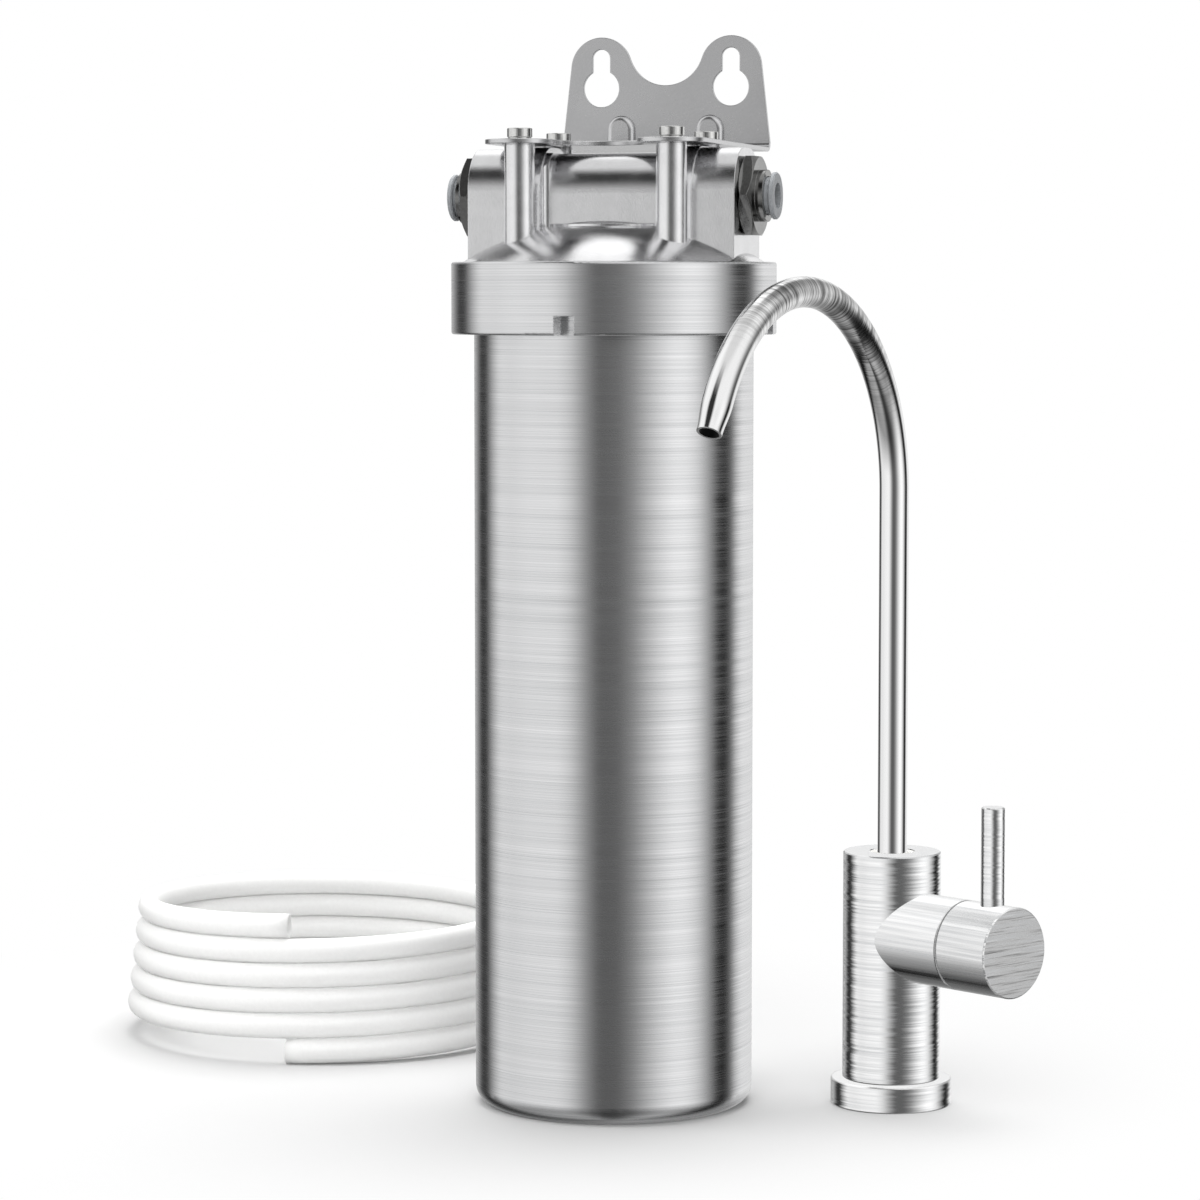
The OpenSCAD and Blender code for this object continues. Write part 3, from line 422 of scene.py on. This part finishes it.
def brushed_body_steel(name):
    """Coarsely brushed faucet steel: level streaks on the body, streaks along the side barrel."""
    made, tree, shader = new_material(name)
    where = put(tree, "ShaderNodeTexCoord").outputs["Object"]
    beside = put(tree, "ShaderNodeVectorMath", {"operation": "SUBTRACT"}, {0: where, 1: FAUCET})
    flat = put(tree, "ShaderNodeVectorMath", {"operation": "MULTIPLY"},
               {0: beside.outputs[0], 1: (1.0, 1.0, 0.0)})
    out = put(tree, "ShaderNodeVectorMath", {"operation": "LENGTH"}, {0: flat.outputs[0]})
    on_barrel = put(tree, "ShaderNodeMath", {"operation": "GREATER_THAN"},
                    {0: out.outputs["Value"], 1: BODY_R + 0.05 * MM}).outputs[0]
    level = brush_lines(tree, where, (1 / FAUCET_STREAK, 1 / FAUCET_STREAK, 1 / BODY_PITCH), 2.3, 4.0)
    turned = put(tree, "ShaderNodeMapping", None, {"Vector": where, "Rotation": (0.0, 0.0, -VALVE_TURN)})
    along = brush_lines(tree, turned.outputs[0], (1 / FAUCET_STREAK, 1 / VALVE_PITCH, 1 / VALVE_PITCH), 5.9)
    lines = put(tree, "ShaderNodeMix", {"data_type": "FLOAT"}, {0: on_barrel, 2: level, 3: along})
    reach = put(tree, "ShaderNodeVectorMath", {"operation": "DOT_PRODUCT"},
                {0: beside.outputs[0], 1: VALVE_WAY})
    inside = put(tree, "ShaderNodeMath", {"operation": "LESS_THAN"},
                 {0: reach.outputs["Value"], 1: BARREL_END - RIM_WIDTH})
    brush(tree, shader, lines.outputs[0], worn_rim(tree, inside.outputs[0]), ("#eaebec", "#ffffff"),
          (0.3, 0.12), skew=-0.16, lean=0.085, dent=0.06, fan=-0.04, zone=on_barrel)
    return made


def brushed_cap_steel(name):
    """The handle's cap: streaks along its side and level streaks across its end."""
    made, tree, shader = new_material(name)
    where = put(tree, "ShaderNodeTexCoord").outputs["Object"]
    beside = put(tree, "ShaderNodeVectorMath", {"operation": "SUBTRACT"}, {0: where, 1: FAUCET})
    turned = put(tree, "ShaderNodeMapping", None,
                 {"Vector": beside.outputs[0], "Rotation": (0.0, 0.0, -VALVE_TURN)}).outputs[0]
    parts = put(tree, "ShaderNodeSeparateXYZ", None, {0: turned})
    side = put(tree, "ShaderNodeMath", {"operation": "LESS_THAN"},
               {0: parts.outputs["X"], 1: HANDLE_END - RIM_WIDTH}).outputs[0]
    along = brush_lines(tree, turned, (1 / FAUCET_STREAK, 1 / VALVE_PITCH, 1 / VALVE_PITCH), 5.9)
    level = brush_lines(tree, turned, (1 / END_STREAK, 1 / END_STREAK, 1 / END_PITCH), 8.3, 4.0)
    across = put(tree, "ShaderNodeMath", {"operation": "MULTIPLY_ADD"}, {0: level, 1: 3.0, 2: -1.0})
    lines = put(tree, "ShaderNodeMix", {"data_type": "FLOAT"}, {0: side, 2: across.outputs[0], 3: along})
    brush(tree, shader, lines.outputs[0], worn_rim(tree, side), ("#dedfe0", "#ffffff"),
          (0.34, 0.14), skew=-0.09, lean=0.05, dent=0.06, zone=side)
    return made


def polished_spout_steel(name):
    """Polished stainless tube: sharp long reflections, with faint rings left by bending and buffing."""
    made, tree, shader = new_material(name)
    along = put(tree, "ShaderNodeAttribute", {"attribute_name": "run"}).outputs["Fac"]
    where = put(tree, "ShaderNodeTexCoord").outputs["Object"]
    steps = put(tree, "ShaderNodeMath", {"operation": "DIVIDE"}, {0: along, 1: 1.0 * MM})
    rings = put(tree, "ShaderNodeCombineXYZ", None, {"X": steps.outputs[0]})
    drift = put(tree, "ShaderNodeVectorMath", {"operation": "MULTIPLY_ADD"},
                {0: where, 1: (0.0, 90.0, 90.0), 2: rings.outputs[0]})
    marks = put(tree, "ShaderNodeTexNoise", None,
                {"Vector": drift.outputs[0], "Scale": 1.0, "Detail": 2.0, "Roughness": 0.6})
    bent = put(tree, "ShaderNodeMapRange", {"interpolation_type": "SMOOTHSTEP"},
               {"Value": along, "From Min": MARKS_START[0], "From Max": MARKS_START[1]})
    near_tip = put(tree, "ShaderNodeMapRange", {"interpolation_type": "SMOOTHSTEP"},
                   {"Value": along, "From Min": MARKS_END[1], "From Max": MARKS_END[0]})
    # Only the bend has marks; elsewhere they fade into one bright tone
    marked = put(tree, "ShaderNodeMath", {"operation": "MULTIPLY"},
                 {0: bent.outputs[0], 1: near_tip.outputs[0]})
    shown = put(tree, "ShaderNodeMapRange", None, {"Value": marked.outputs[0], "To Min": 0.02, "To Max": 0.5})
    faint = put(tree, "ShaderNodeMix", {"data_type": "FLOAT"},
                {0: marked.outputs[0], 2: 0.66, 3: marks.outputs[0]})
    tone = put(tree, "ShaderNodeValToRGB", {"stops": [(0.35, colour("#828282")), (0.64, colour("#f4f4f4"))]},
               {"Fac": faint.outputs[0]})
    matt = put(tree, "ShaderNodeMapRange", None,
               {"Value": faint.outputs[0], "From Min": 0.3, "From Max": 0.66, "To Min": 0.26, "To Max": 0.1})
    bump = put(tree, "ShaderNodeBump", None,
               {"Strength": shown.outputs[0], "Distance": 0.15 * MM, "Height": marks.outputs[0]})
    shader.inputs["Metallic"].default_value = 1.0
    dress(tree, shader, tone, matt, bump)
    return made


def moulded(name, low, high, grain, rough, dent):
    """Moulded or pressed plastic, rubber, carbon and fleece: a grained surface of one colour."""
    made, tree, shader = new_material(name)
    where = put(tree, "ShaderNodeTexCoord").outputs["Object"]
    specks = put(tree, "ShaderNodeTexNoise", None, {"Vector": where, "Scale": 1 / grain, "Detail": 4.0})
    tone = put(tree, "ShaderNodeValToRGB", {"stops": [(0.35, colour(low)), (0.65, colour(high))]},
               {"Fac": specks.outputs[0]})
    matt = put(tree, "ShaderNodeMapRange", None,
               {"Value": specks.outputs[0], "From Min": 0.3, "From Max": 0.7,
                "To Min": rough - 0.06, "To Max": rough + 0.06})
    bump = put(tree, "ShaderNodeBump", None,
               {"Strength": dent, "Distance": 0.1 * MM, "Height": specks.outputs[0]})
    dress(tree, shader, tone, matt, bump)
    return made


def finish_nodes(zinc_plate):
    """Give every solid of the frame its material."""
    finishes = [
        # Fine level lines that draw the studio out into soft upright bands
        (brushed_round_steel("brushed_stainless_steel", ("#d2d3d4", "#eaeaeb"), (0.33, 0.17), pitch=0.4 * MM,
                             streak=250 * MM, skew=0.0, lean=0.018, dent=0.02),
         ["canister"]),
        # The same bands with slightly wider lines, from the lathe
        (brushed_round_steel("brushed_ring_steel", ("#d1d2d3", "#ebebec"), (0.33, 0.17), pitch=0.5 * MM,
                             streak=250 * MM, skew=0.0, lean=0.018, dent=0.02),
         ["ring_nut"]),
        # Rough level streaks, short and bright
        (brushed_round_steel("coarsely_brushed_steel", ("#eaebec", "#ffffff"), (0.3, 0.12), pitch=BODY_PITCH,
                             streak=FAUCET_STREAK, skew=-0.16, lean=0.085, dent=0.06, fan=-0.04),
         ["faucet_base", "lever"]),
        # A pale grained skin with broad soft highlights
        (plain_metal("bead_blasted_cast_steel", "#e4e4e5", "#f2f2f3", 0.4 * MM, rough=0.2, spread=0.03,
                     dent=0.25, edge_round=0.4 * MM),
         ["head"]),
        (zinc_plate, ["grub_screw", "grab_rings"]),
        # Dark facets with clear edges
        (plain_metal("nickel_plated_brass", "#7c7c7b", "#90908f", 0.9 * MM, rough=0.12, spread=0.03,
                     dent=0.03, edge_round=0.35 * MM),
         ["inlet_fitting", "outlet_fitting"]),
        (brushed_body_steel("brushed_body_steel"), ["faucet_body"]),
        (brushed_cap_steel("brushed_cap_steel"), ["handle_cap"]),
        # A warm satin yellow
        (plain_metal("machined_brass", "#b48b45", "#d0a95c", 0.8 * MM, rough=0.28, spread=0.05,
                     dent=0.05, edge_round=0.2 * MM),
         ["valve_cartridge", "cartridge_nut", "spout_ferrule", "valve_spindle"]),
        # A flat cool grey
        (moulded("acetal", "#8e9194", "#9a9da0", 1.2 * MM, rough=0.4, dent=0.05),
         ["inlet_collet", "outlet_collet"]),
        # A soft off-white
        (moulded("polypropylene", "#e6e5e0", "#f1f0ec", 1.5 * MM, rough=0.45, dent=0.05),
         ["cartridge_seat", "bottom_end_cap", "top_end_cap", "core_tube", "spout_bush"]),
        # A dull black
        (moulded("nitrile_rubber", "#131313", "#1d1d1d", 0.8 * MM, rough=0.6, dent=0.1),
         ["head_seal", "port_seals", "tube_seals", "spout_seals", "base_gasket"]),
        # A dull dark grey
        (moulded("silicone_rubber", "#4a4b4c", "#5a5b5c", 1.0 * MM, rough=0.6, dent=0.08),
         ["bottom_gasket", "top_gasket"]),
        # A coarse, sooty black
        (moulded("pressed_carbon", "#121212", "#2a2a2a", 0.6 * MM, rough=0.85, dent=0.6), ["carbon_block"]),
        # A fuzzy off-white
        (moulded("spun_fleece", "#dcdad4", "#f0efec", 0.5 * MM, rough=0.9, dent=0.5), ["filter_wrap"]),
        # A smooth, glassy white
        (moulded("lapped_ceramic", "#e9e8e4", "#f0efec", 0.4 * MM, rough=0.18, dent=0.02),
         ["fixed_disc", "moving_disc"]),
    ]
    for made, names in finishes:
        for name in names:
            nodes[name].data.materials.clear()
            nodes[name].data.materials.append(made)


# Pieces


def tube_mesh(name, stations, sides, uv_name):
    """A closed skin through rings of (middle, across, up, radius, length), with a flat face at each end."""
    mesh = bpy.data.meshes.new(name)
    shape = bmesh.new()
    layer = shape.loops.layers.uv.new(uv_name)
    rings = []
    for middle, across, up, radius, _ in stations:
        ring = []
        for k in range(sides):
            turn = 2 * math.pi * k / sides
            aside = across * (radius * math.cos(turn))
            above = up * (radius * math.sin(turn))
            ring.append(shape.verts.new(middle + aside + above))
        rings.append(ring)
    for i in range(len(rings) - 1):
        j = i + 1
        for k in range(sides):
            n = (k + 1) % sides
            face = shape.faces.new((rings[i][k], rings[i][n], rings[j][n], rings[j][k]))
            face.smooth = True
            for loop, (row, step) in zip(face.loops, ((i, k), (i, k + 1), (j, k + 1), (j, k))):
                loop[layer].uv = (stations[row][4], step / sides)
    for ring, station in ((rings[0], stations[0]), (rings[-1], stations[-1])):
        for step, loop in enumerate(shape.faces.new(ring).loops):
            loop[layer].uv = (station[4], step / sides)
    bmesh.ops.recalc_face_normals(shape, faces=shape.faces)
    shape.to_mesh(mesh)
    shape.free()
    piece = bpy.data.objects.new(name, mesh)
    scene.collection.objects.link(piece)
    return piece


def coil_point(t):
    """The tubing's middle after t turns."""
    turn = COIL_START + 2 * math.pi * t
    radius = COIL_R - COIL_TAPER * t
    rise = TUBE_R + COIL_PITCH * t
    return COIL_MIDDLE + Vector((radius * math.cos(turn), radius * math.sin(turn), rise))


def wind_tubing():
    """One length of white tubing wound in five turns, both ends cut square and open.

    Bending makes it a little taller than wide, so that its turns all but touch.
    """
    path = [coil_point(i / RINGS_PER_TURN) for i in range(COIL_TURNS * RINGS_PER_TURN + 1)]
    lift = Vector((0, 0, TUBE_R * (TUBE_OVAL - 1)))
    stations, walked = [], 0.0
    for i, middle in enumerate(path):
        if i:
            walked += (middle - path[i - 1]).length
        turn = COIL_START + 2 * math.pi * i / RINGS_PER_TURN
        across = Vector((math.cos(turn), math.sin(turn), 0.0))
        stations.append((middle + lift, across / TUBE_OVAL, Vector((0, 0, TUBE_OVAL)), TUBE_R, walked))
    first, last = stations[0], stations[-1]
    start_hole = [s[:3] + (TUBE_BORE_R, s[4]) for s in reversed(stations[:RINGS_IN_HOLE])]
    end_hole = [s[:3] + (TUBE_BORE_R, s[4]) for s in reversed(stations[-RINGS_IN_HOLE:])]
    start_lip = first[:3] + (TUBE_LIP_R, first[4])
    end_lip = last[:3] + (TUBE_LIP_R, last[4])
    rings = start_hole + [start_lip] + stations + [end_lip] + end_hole
    piece = tube_mesh("tubing", rings, TUBE_SIDES, "length_and_turn")
    piece.visible_glossy = False
    # A smooth, waxy white
    plastic = moulded("polyethylene", "#f3f3f2", "#f6f6f5", 1.2 * MM, rough=0.34, dent=0.01)
    piece.data.materials.append(plastic)
    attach(piece, "canister")
    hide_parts("tubing_coil")


def new_tree(name, sizes):
    """A Geometry Nodes tree with named inputs for its sizes, and its two ends."""
    tree = bpy.data.node_groups.new(name, "GeometryNodeTree")
    for label in sizes:
        kind = "NodeSocketMaterial" if label == "Material" else "NodeSocketFloat"
        tree.interface.new_socket(label, in_out="INPUT", socket_type=kind)
    tree.interface.new_socket("Geometry", in_out="OUTPUT", socket_type="NodeSocketGeometry")
    return tree, put(tree, "NodeGroupInput").outputs, put(tree, "NodeGroupOutput").inputs


def end_tree(tree, size, end, shape):
    """Lead a tree's shape to its end, as real geometry in its material."""
    real = put(tree, "GeometryNodeRealizeInstances", None, {"Geometry": shape})
    done = put(tree, "GeometryNodeSetMaterial", None,
               {"Geometry": real.outputs[0], "Material": size["Material"]})
    tree.links.new(done.outputs[0], end["Geometry"])


def end_at_bosses(tree, size, end, item):
    """Set a tree's item on the axes of the four bosses, and lead them to its end."""
    corners = put(tree, "GeometryNodeMeshGrid", None,
                  {"Size X": size["Spacing X"], "Size Y": size["Spacing Y"],
                   "Vertices X": 2, "Vertices Y": 2})
    four = put(tree, "GeometryNodeInstanceOnPoints", None,
               {"Points": corners.outputs["Mesh"], "Instance": item})
    place = put(tree, "ShaderNodeCombineXYZ", None, {"Z": size["Middle Z"]})
    placed = put(tree, "GeometryNodeTransform", None,
                 {"Geometry": four.outputs[0], "Translation": place.outputs[0]})
    end_tree(tree, size, end, placed.outputs[0])


def grow(name, tree, sizes):
    """The plain mesh that a tree gives at these sizes, as a piece at the origin."""
    piece = bpy.data.objects.new(name, bpy.data.meshes.new(name + "_start"))
    scene.collection.objects.link(piece)
    modifier = piece.modifiers.new(name, "NODES")
    modifier.node_group = tree
    for item in tree.interface.items_tree:
        if item.in_out == "INPUT":
            modifier[item.identifier] = sizes[item.name]
    grown = bpy.data.meshes.new_from_object(piece.evaluated_get(bpy.context.evaluated_depsgraph_get()))
    piece.modifiers.remove(modifier)
    piece.data = grown
    grown.name = name
    return piece


def round_edges(piece, width, segments, limit="ANGLE"):
    """Small rounded edges that catch the light."""
    bevel = piece.modifiers.new("round_edges", "BEVEL")
    bevel.width = width
    bevel.segments = segments
    bevel.limit_method = limit
    bevel.angle_limit = CORNER_TURN
    bevel.harden_normals = True
    bevel.use_clamp_overlap = False


def stand(piece, body, node):
    """Let a piece stand for a solid and move with its body."""
    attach(piece, body)
    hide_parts(node)


def set_bolts(zinc_plate):
    """Four bolts with a hexagon socket, one over each boss."""
    sizes = {"Spacing X": BOSS_DX, "Spacing Y": BOSS_DY, "Middle Z": BOLT_HEAD_Z + BOLT_HEAD_H / 2,
             "Head Radius": BOLT_HEAD_R, "Head Height": BOLT_HEAD_H, "Shank Radius": BOLT_R,
             "Shank Length": BOLT_LENGTH, "Key Radius": KEY_R, "Key Depth": KEY_DEPTH, "Material": zinc_plate}
    tree, size, end = new_tree("bolts_at_corners", sizes)
    top = put(tree, "GeometryNodeMeshCylinder", None,
              {"Vertices": 48, "Radius": size["Head Radius"], "Depth": size["Head Height"]})
    key = put(tree, "GeometryNodeMeshCylinder", None,
              {"Vertices": 6, "Radius": size["Key Radius"], "Depth": size["Head Height"]})
    key_z = put(tree, "ShaderNodeMath", {"operation": "SUBTRACT"},
                {0: size["Head Height"], 1: size["Key Depth"]})
    key_at = put(tree, "ShaderNodeCombineXYZ", None, {"Z": key_z.outputs[0]})
    raised = put(tree, "GeometryNodeTransform", None,
                 {"Geometry": key.outputs["Mesh"], "Translation": key_at.outputs[0]})
    cut_out = put(tree, "GeometryNodeMeshBoolean", {"operation": "DIFFERENCE"},
                  {"Mesh 1": top.outputs["Mesh"], "Mesh 2": raised.outputs[0]})
    shank = put(tree, "GeometryNodeMeshCylinder", None,
                {"Vertices": 32, "Radius": size["Shank Radius"], "Depth": size["Shank Length"]})
    whole = put(tree, "ShaderNodeMath", {"operation": "ADD"},
                {0: size["Shank Length"], 1: size["Head Height"]})
    shank_z = put(tree, "ShaderNodeMath", {"operation": "MULTIPLY"}, {0: whole.outputs[0], 1: -0.5})
    shank_at = put(tree, "ShaderNodeCombineXYZ", None, {"Z": shank_z.outputs[0]})
    lowered = put(tree, "GeometryNodeTransform", None,
                  {"Geometry": shank.outputs["Mesh"], "Translation": shank_at.outputs[0]})
    bolt = put(tree, "GeometryNodeJoinGeometry", None, {0: cut_out.outputs["Mesh"]})
    tree.links.new(lowered.outputs[0], bolt.inputs[0])
    end_at_bosses(tree, size, end, bolt.outputs[0])
    piece = grow("socket_bolts", tree, sizes)
    round_edges(piece, 0.3 * MM, 3)
    stand(piece, "head", "bracket_bolts")


def set_washers(zinc_plate):
    """Four lock washers, each a flat ring with a slit, one under each bolt's head."""
    sizes = {"Spacing X": BOSS_DX, "Spacing Y": BOSS_DY, "Middle Z": BOLT_HEAD_Z - WASHER_T / 2,
             "Ring Radius": WASHER_RING_R, "Ring Width": WASHER_WIDTH, "Thickness": WASHER_T - WASHER_PLAY,
             "Turn": WASHER_SWEEP, "Material": zinc_plate}
    tree, size, end = new_tree("washers_at_corners", sizes)
    bow = put(tree, "GeometryNodeCurveArc", {"mode": "RADIUS"},
              {"Resolution": 48, "Radius": size["Ring Radius"], "Start Angle": WASHER_START,
               "Sweep Angle": size["Turn"]})
    upright = put(tree, "GeometryNodeSetCurveNormal", {"mode": "Z_UP"}, {"Curve": bow.outputs["Curve"]})
    section = put(tree, "GeometryNodeCurvePrimitiveQuadrilateral", {"mode": "RECTANGLE"},
                  {"Width": size["Ring Width"], "Height": size["Thickness"]})
    ring = put(tree, "GeometryNodeCurveToMesh", None,
               {"Curve": upright.outputs[0], "Profile Curve": section.outputs[0], "Fill Caps": True})
    end_at_bosses(tree, size, end, ring.outputs[0])
    piece = grow("split_washers", tree, sizes)
    round_edges(piece, 0.08 * MM, 2)
    stand(piece, "head", "lock_washers")


def bend_spout():
    """The gooseneck: a straight riser, one long bend, and a short narrowed tip, hollow from end to end."""
    sizes = {"Riser": SPOUT_RISE - SPOUT_FOOT, "Bend Radius": SPOUT_BEND_R, "Bend": SPOUT_BEND,
             "End": SPOUT_END + TIP_LENGTH, "Tube Radius": SPOUT_R, "Tip Radius": TIP_R, "Taper": TIP_TAPER,
             "Material": polished_spout_steel("polished_stainless_tube")}
    tree, size, end = new_tree("gooseneck_sweep", sizes)

    # A straight line as long as the spout, whose points know how far along it they lie
    arc = put(tree, "ShaderNodeMath", {"operation": "MULTIPLY_ADD"},
              {0: size["Bend Radius"], 1: size["Bend"], 2: size["Riser"]})
    whole = put(tree, "ShaderNodeMath", {"operation": "ADD"}, {0: arc.outputs[0], 1: size["End"]})
    line_end = put(tree, "ShaderNodeCombineXYZ", None, {"Z": whole.outputs[0]})
    line = put(tree, "GeometryNodeCurvePrimitiveLine", None,
               {"Start": (0.0, 0.0, 0.0), "End": line_end.outputs[0]})
    dense = put(tree, "GeometryNodeResampleCurve", {"mode": "COUNT"},
                {"Curve": line.outputs[0], "Count": SPOUT_RINGS})
    walked = put(tree, "GeometryNodeSplineParameter").outputs["Length"]
    kept = put(tree, "GeometryNodeStoreNamedAttribute", {"data_type": "FLOAT", "domain": "POINT"},
               {"Geometry": dense.outputs[0], "Name": "run", "Value": walked})
    run = put(tree, "GeometryNodeInputNamedAttribute", {"data_type": "FLOAT"}, {"Name": "run"}).outputs[0]

    # Each point is moved up the riser, around the bend and down the straight end
    past = put(tree, "ShaderNodeMath", {"operation": "SUBTRACT"}, {0: run, 1: size["Riser"]})
    turn = put(tree, "ShaderNodeMath", {"operation": "DIVIDE"}, {0: past.outputs[0], 1: size["Bend Radius"]})
    bent = put(tree, "ShaderNodeClamp", None, {"Value": turn.outputs[0], "Min": 0.0, "Max": size["Bend"]})
    sine = put(tree, "ShaderNodeMath", {"operation": "SINE"}, {0: bent.outputs[0]})
    cosine = put(tree, "ShaderNodeMath", {"operation": "COSINE"}, {0: bent.outputs[0]})
    past_bend = put(tree, "ShaderNodeMath", {"operation": "SUBTRACT"}, {0: run, 1: arc.outputs[0]})
    straight = put(tree, "ShaderNodeMath", {"operation": "MAXIMUM"}, {0: past_bend.outputs[0], 1: 0.0})
    low = put(tree, "ShaderNodeMath", {"operation": "MINIMUM"}, {0: run, 1: size["Riser"]})
    rise = put(tree, "ShaderNodeMath", {"operation": "MULTIPLY_ADD"},
               {0: size["Bend Radius"], 1: sine.outputs[0], 2: low.outputs[0]})
    up = put(tree, "ShaderNodeMath", {"operation": "MULTIPLY_ADD"},
             {0: straight.outputs[0], 1: cosine.outputs[0], 2: rise.outputs[0]})
    fall = put(tree, "ShaderNodeMath", {"operation": "SUBTRACT"}, {0: 1.0, 1: cosine.outputs[0]})
    swing = put(tree, "ShaderNodeMath", {"operation": "MULTIPLY"},
                {0: size["Bend Radius"], 1: fall.outputs[0]})
    out = put(tree, "ShaderNodeMath", {"operation": "MULTIPLY_ADD"},
              {0: straight.outputs[0], 1: sine.outputs[0], 2: swing.outputs[0]})
    flat = put(tree, "ShaderNodeVectorMath", {"operation": "SCALE"}, {0: SPOUT_WAY, "Scale": out.outputs[0]})
    tall = put(tree, "ShaderNodeCombineXYZ", None, {"Z": up.outputs[0]})
    foot = put(tree, "ShaderNodeVectorMath", {"operation": "ADD"},
               {0: tall.outputs[0], 1: FAUCET + Vector((0, 0, SPOUT_FOOT))})
    place = put(tree, "ShaderNodeVectorMath", {"operation": "ADD"}, {0: flat.outputs[0], 1: foot.outputs[0]})
    route = put(tree, "GeometryNodeSetPosition", None,
                {"Geometry": kept.outputs[0], "Position": place.outputs[0]})

    # A round section is swept along these points and narrows at the tip
    taper = put(tree, "ShaderNodeMath", {"operation": "SUBTRACT"}, {0: whole.outputs[0], 1: size["Taper"]})
    radius = put(tree, "ShaderNodeMapRange", {"interpolation_type": "SMOOTHSTEP"},
                 {"Value": run, "From Min": taper.outputs[0], "From Max": whole.outputs[0],
                  "To Min": size["Tube Radius"], "To Max": size["Tip Radius"]})
    circle = put(tree, "GeometryNodeCurvePrimitiveCircle", {"mode": "RADIUS"},
                 {"Resolution": SPOUT_SIDES, "Radius": 1.0})
    skin = put(tree, "GeometryNodeCurveToMesh", None,
               {"Curve": route.outputs[0], "Profile Curve": circle.outputs[0], "Scale": radius.outputs[0]})
    smooth = put(tree, "GeometryNodeSetShadeSmooth", None, {"Geometry": skin.outputs[0]})
    end_tree(tree, size, end, smooth.outputs[0])
    piece = grow("gooseneck", tree, sizes)

    # The inside is painted nearly black: painted shade for the dark bore of the tube
    piece.data.materials.append(plain_metal("painted_shade_bore", "#0c0c0c", "#161616", 0.8 * MM, rough=0.6,
                                            spread=0.05, dent=0.05, edge_round=0.1 * MM))
    wall = piece.modifiers.new("tube_wall", "SOLIDIFY")
    wall.thickness = SPOUT_R - SPOUT_BORE_R
    wall.offset = -1.0
    wall.use_rim = True
    wall.material_offset = 1
    wall.material_offset_rim = 0
    round_edges(piece, 0.15 * MM, 2)
    piece.visible_glossy = False
    stand(piece, "spout", "spout")


def press_bracket():
    """The wall bracket with its cut edges softened and its two gussets pressed round."""
    mesh = nodes["wall_bracket"].data.copy()
    mesh.name = "pressed_bracket"
    shape = bmesh.new()
    shape.from_mesh(mesh)
    bmesh.ops.remove_doubles(shape, verts=shape.verts, dist=ONE_POINT)
    bmesh.ops.dissolve_limit(shape, angle_limit=FLAT_TURN, verts=shape.verts, edges=shape.edges)
    weight = shape.edges.layers.float.new("bevel_weight_edge")
    for face in shape.faces:
        face.smooth = True
    for edge in shape.edges:
        edge.smooth = edge.calc_face_angle(0.0) < SHARP_TURN
        if not edge.smooth and edge.is_convex:
            on_gusset = all(abs(v.co.y - GUSSET_FRONT) < ON_FACE for v in edge.verts)
            edge[weight] = 1.0 if on_gusset else CUT_EDGE_SHARE
    shape.to_mesh(mesh)
    shape.free()
    piece = bpy.data.objects.new("pressed_bracket", mesh)
    scene.collection.objects.link(piece)
    mesh.materials.clear()
    # An even, mid-grey satin with hardly any grain
    mesh.materials.append(plain_metal("rolled_steel_sheet", "#d2d2d3", "#dadadb", 0.8 * MM, rough=0.26,
                                      spread=0.02, dent=0.008, edge_round=0.1 * MM))
    round_edges(piece, GUSSET_ROUND, 6, "WEIGHT")
    stand(piece, "head", "wall_bracket")


def keep_apart():
    """The filter and the faucet stand apart in the photograph: neither shows in the other's steel.

    The tubing and the gooseneck are kept out of it where they are made.
    """
    for name, solid in nodes.items():
        if name not in SEEN_IN_STEEL:
            solid.visible_glossy = False


set_camera()
wind_tubing()
studio_world()
studio_lamps()
studio_floor()
# Small bright pieces with clear highlights
zinc = plain_metal("zinc_plated_steel", "#cfcfce", "#e2e2e0", 0.7 * MM, rough=0.14, spread=0.03,
                   dent=0.03, edge_round=0.15 * MM)
finish_nodes(zinc)
set_bolts(zinc)
set_washers(zinc)
press_bracket()
bend_spout()
keep_apart()
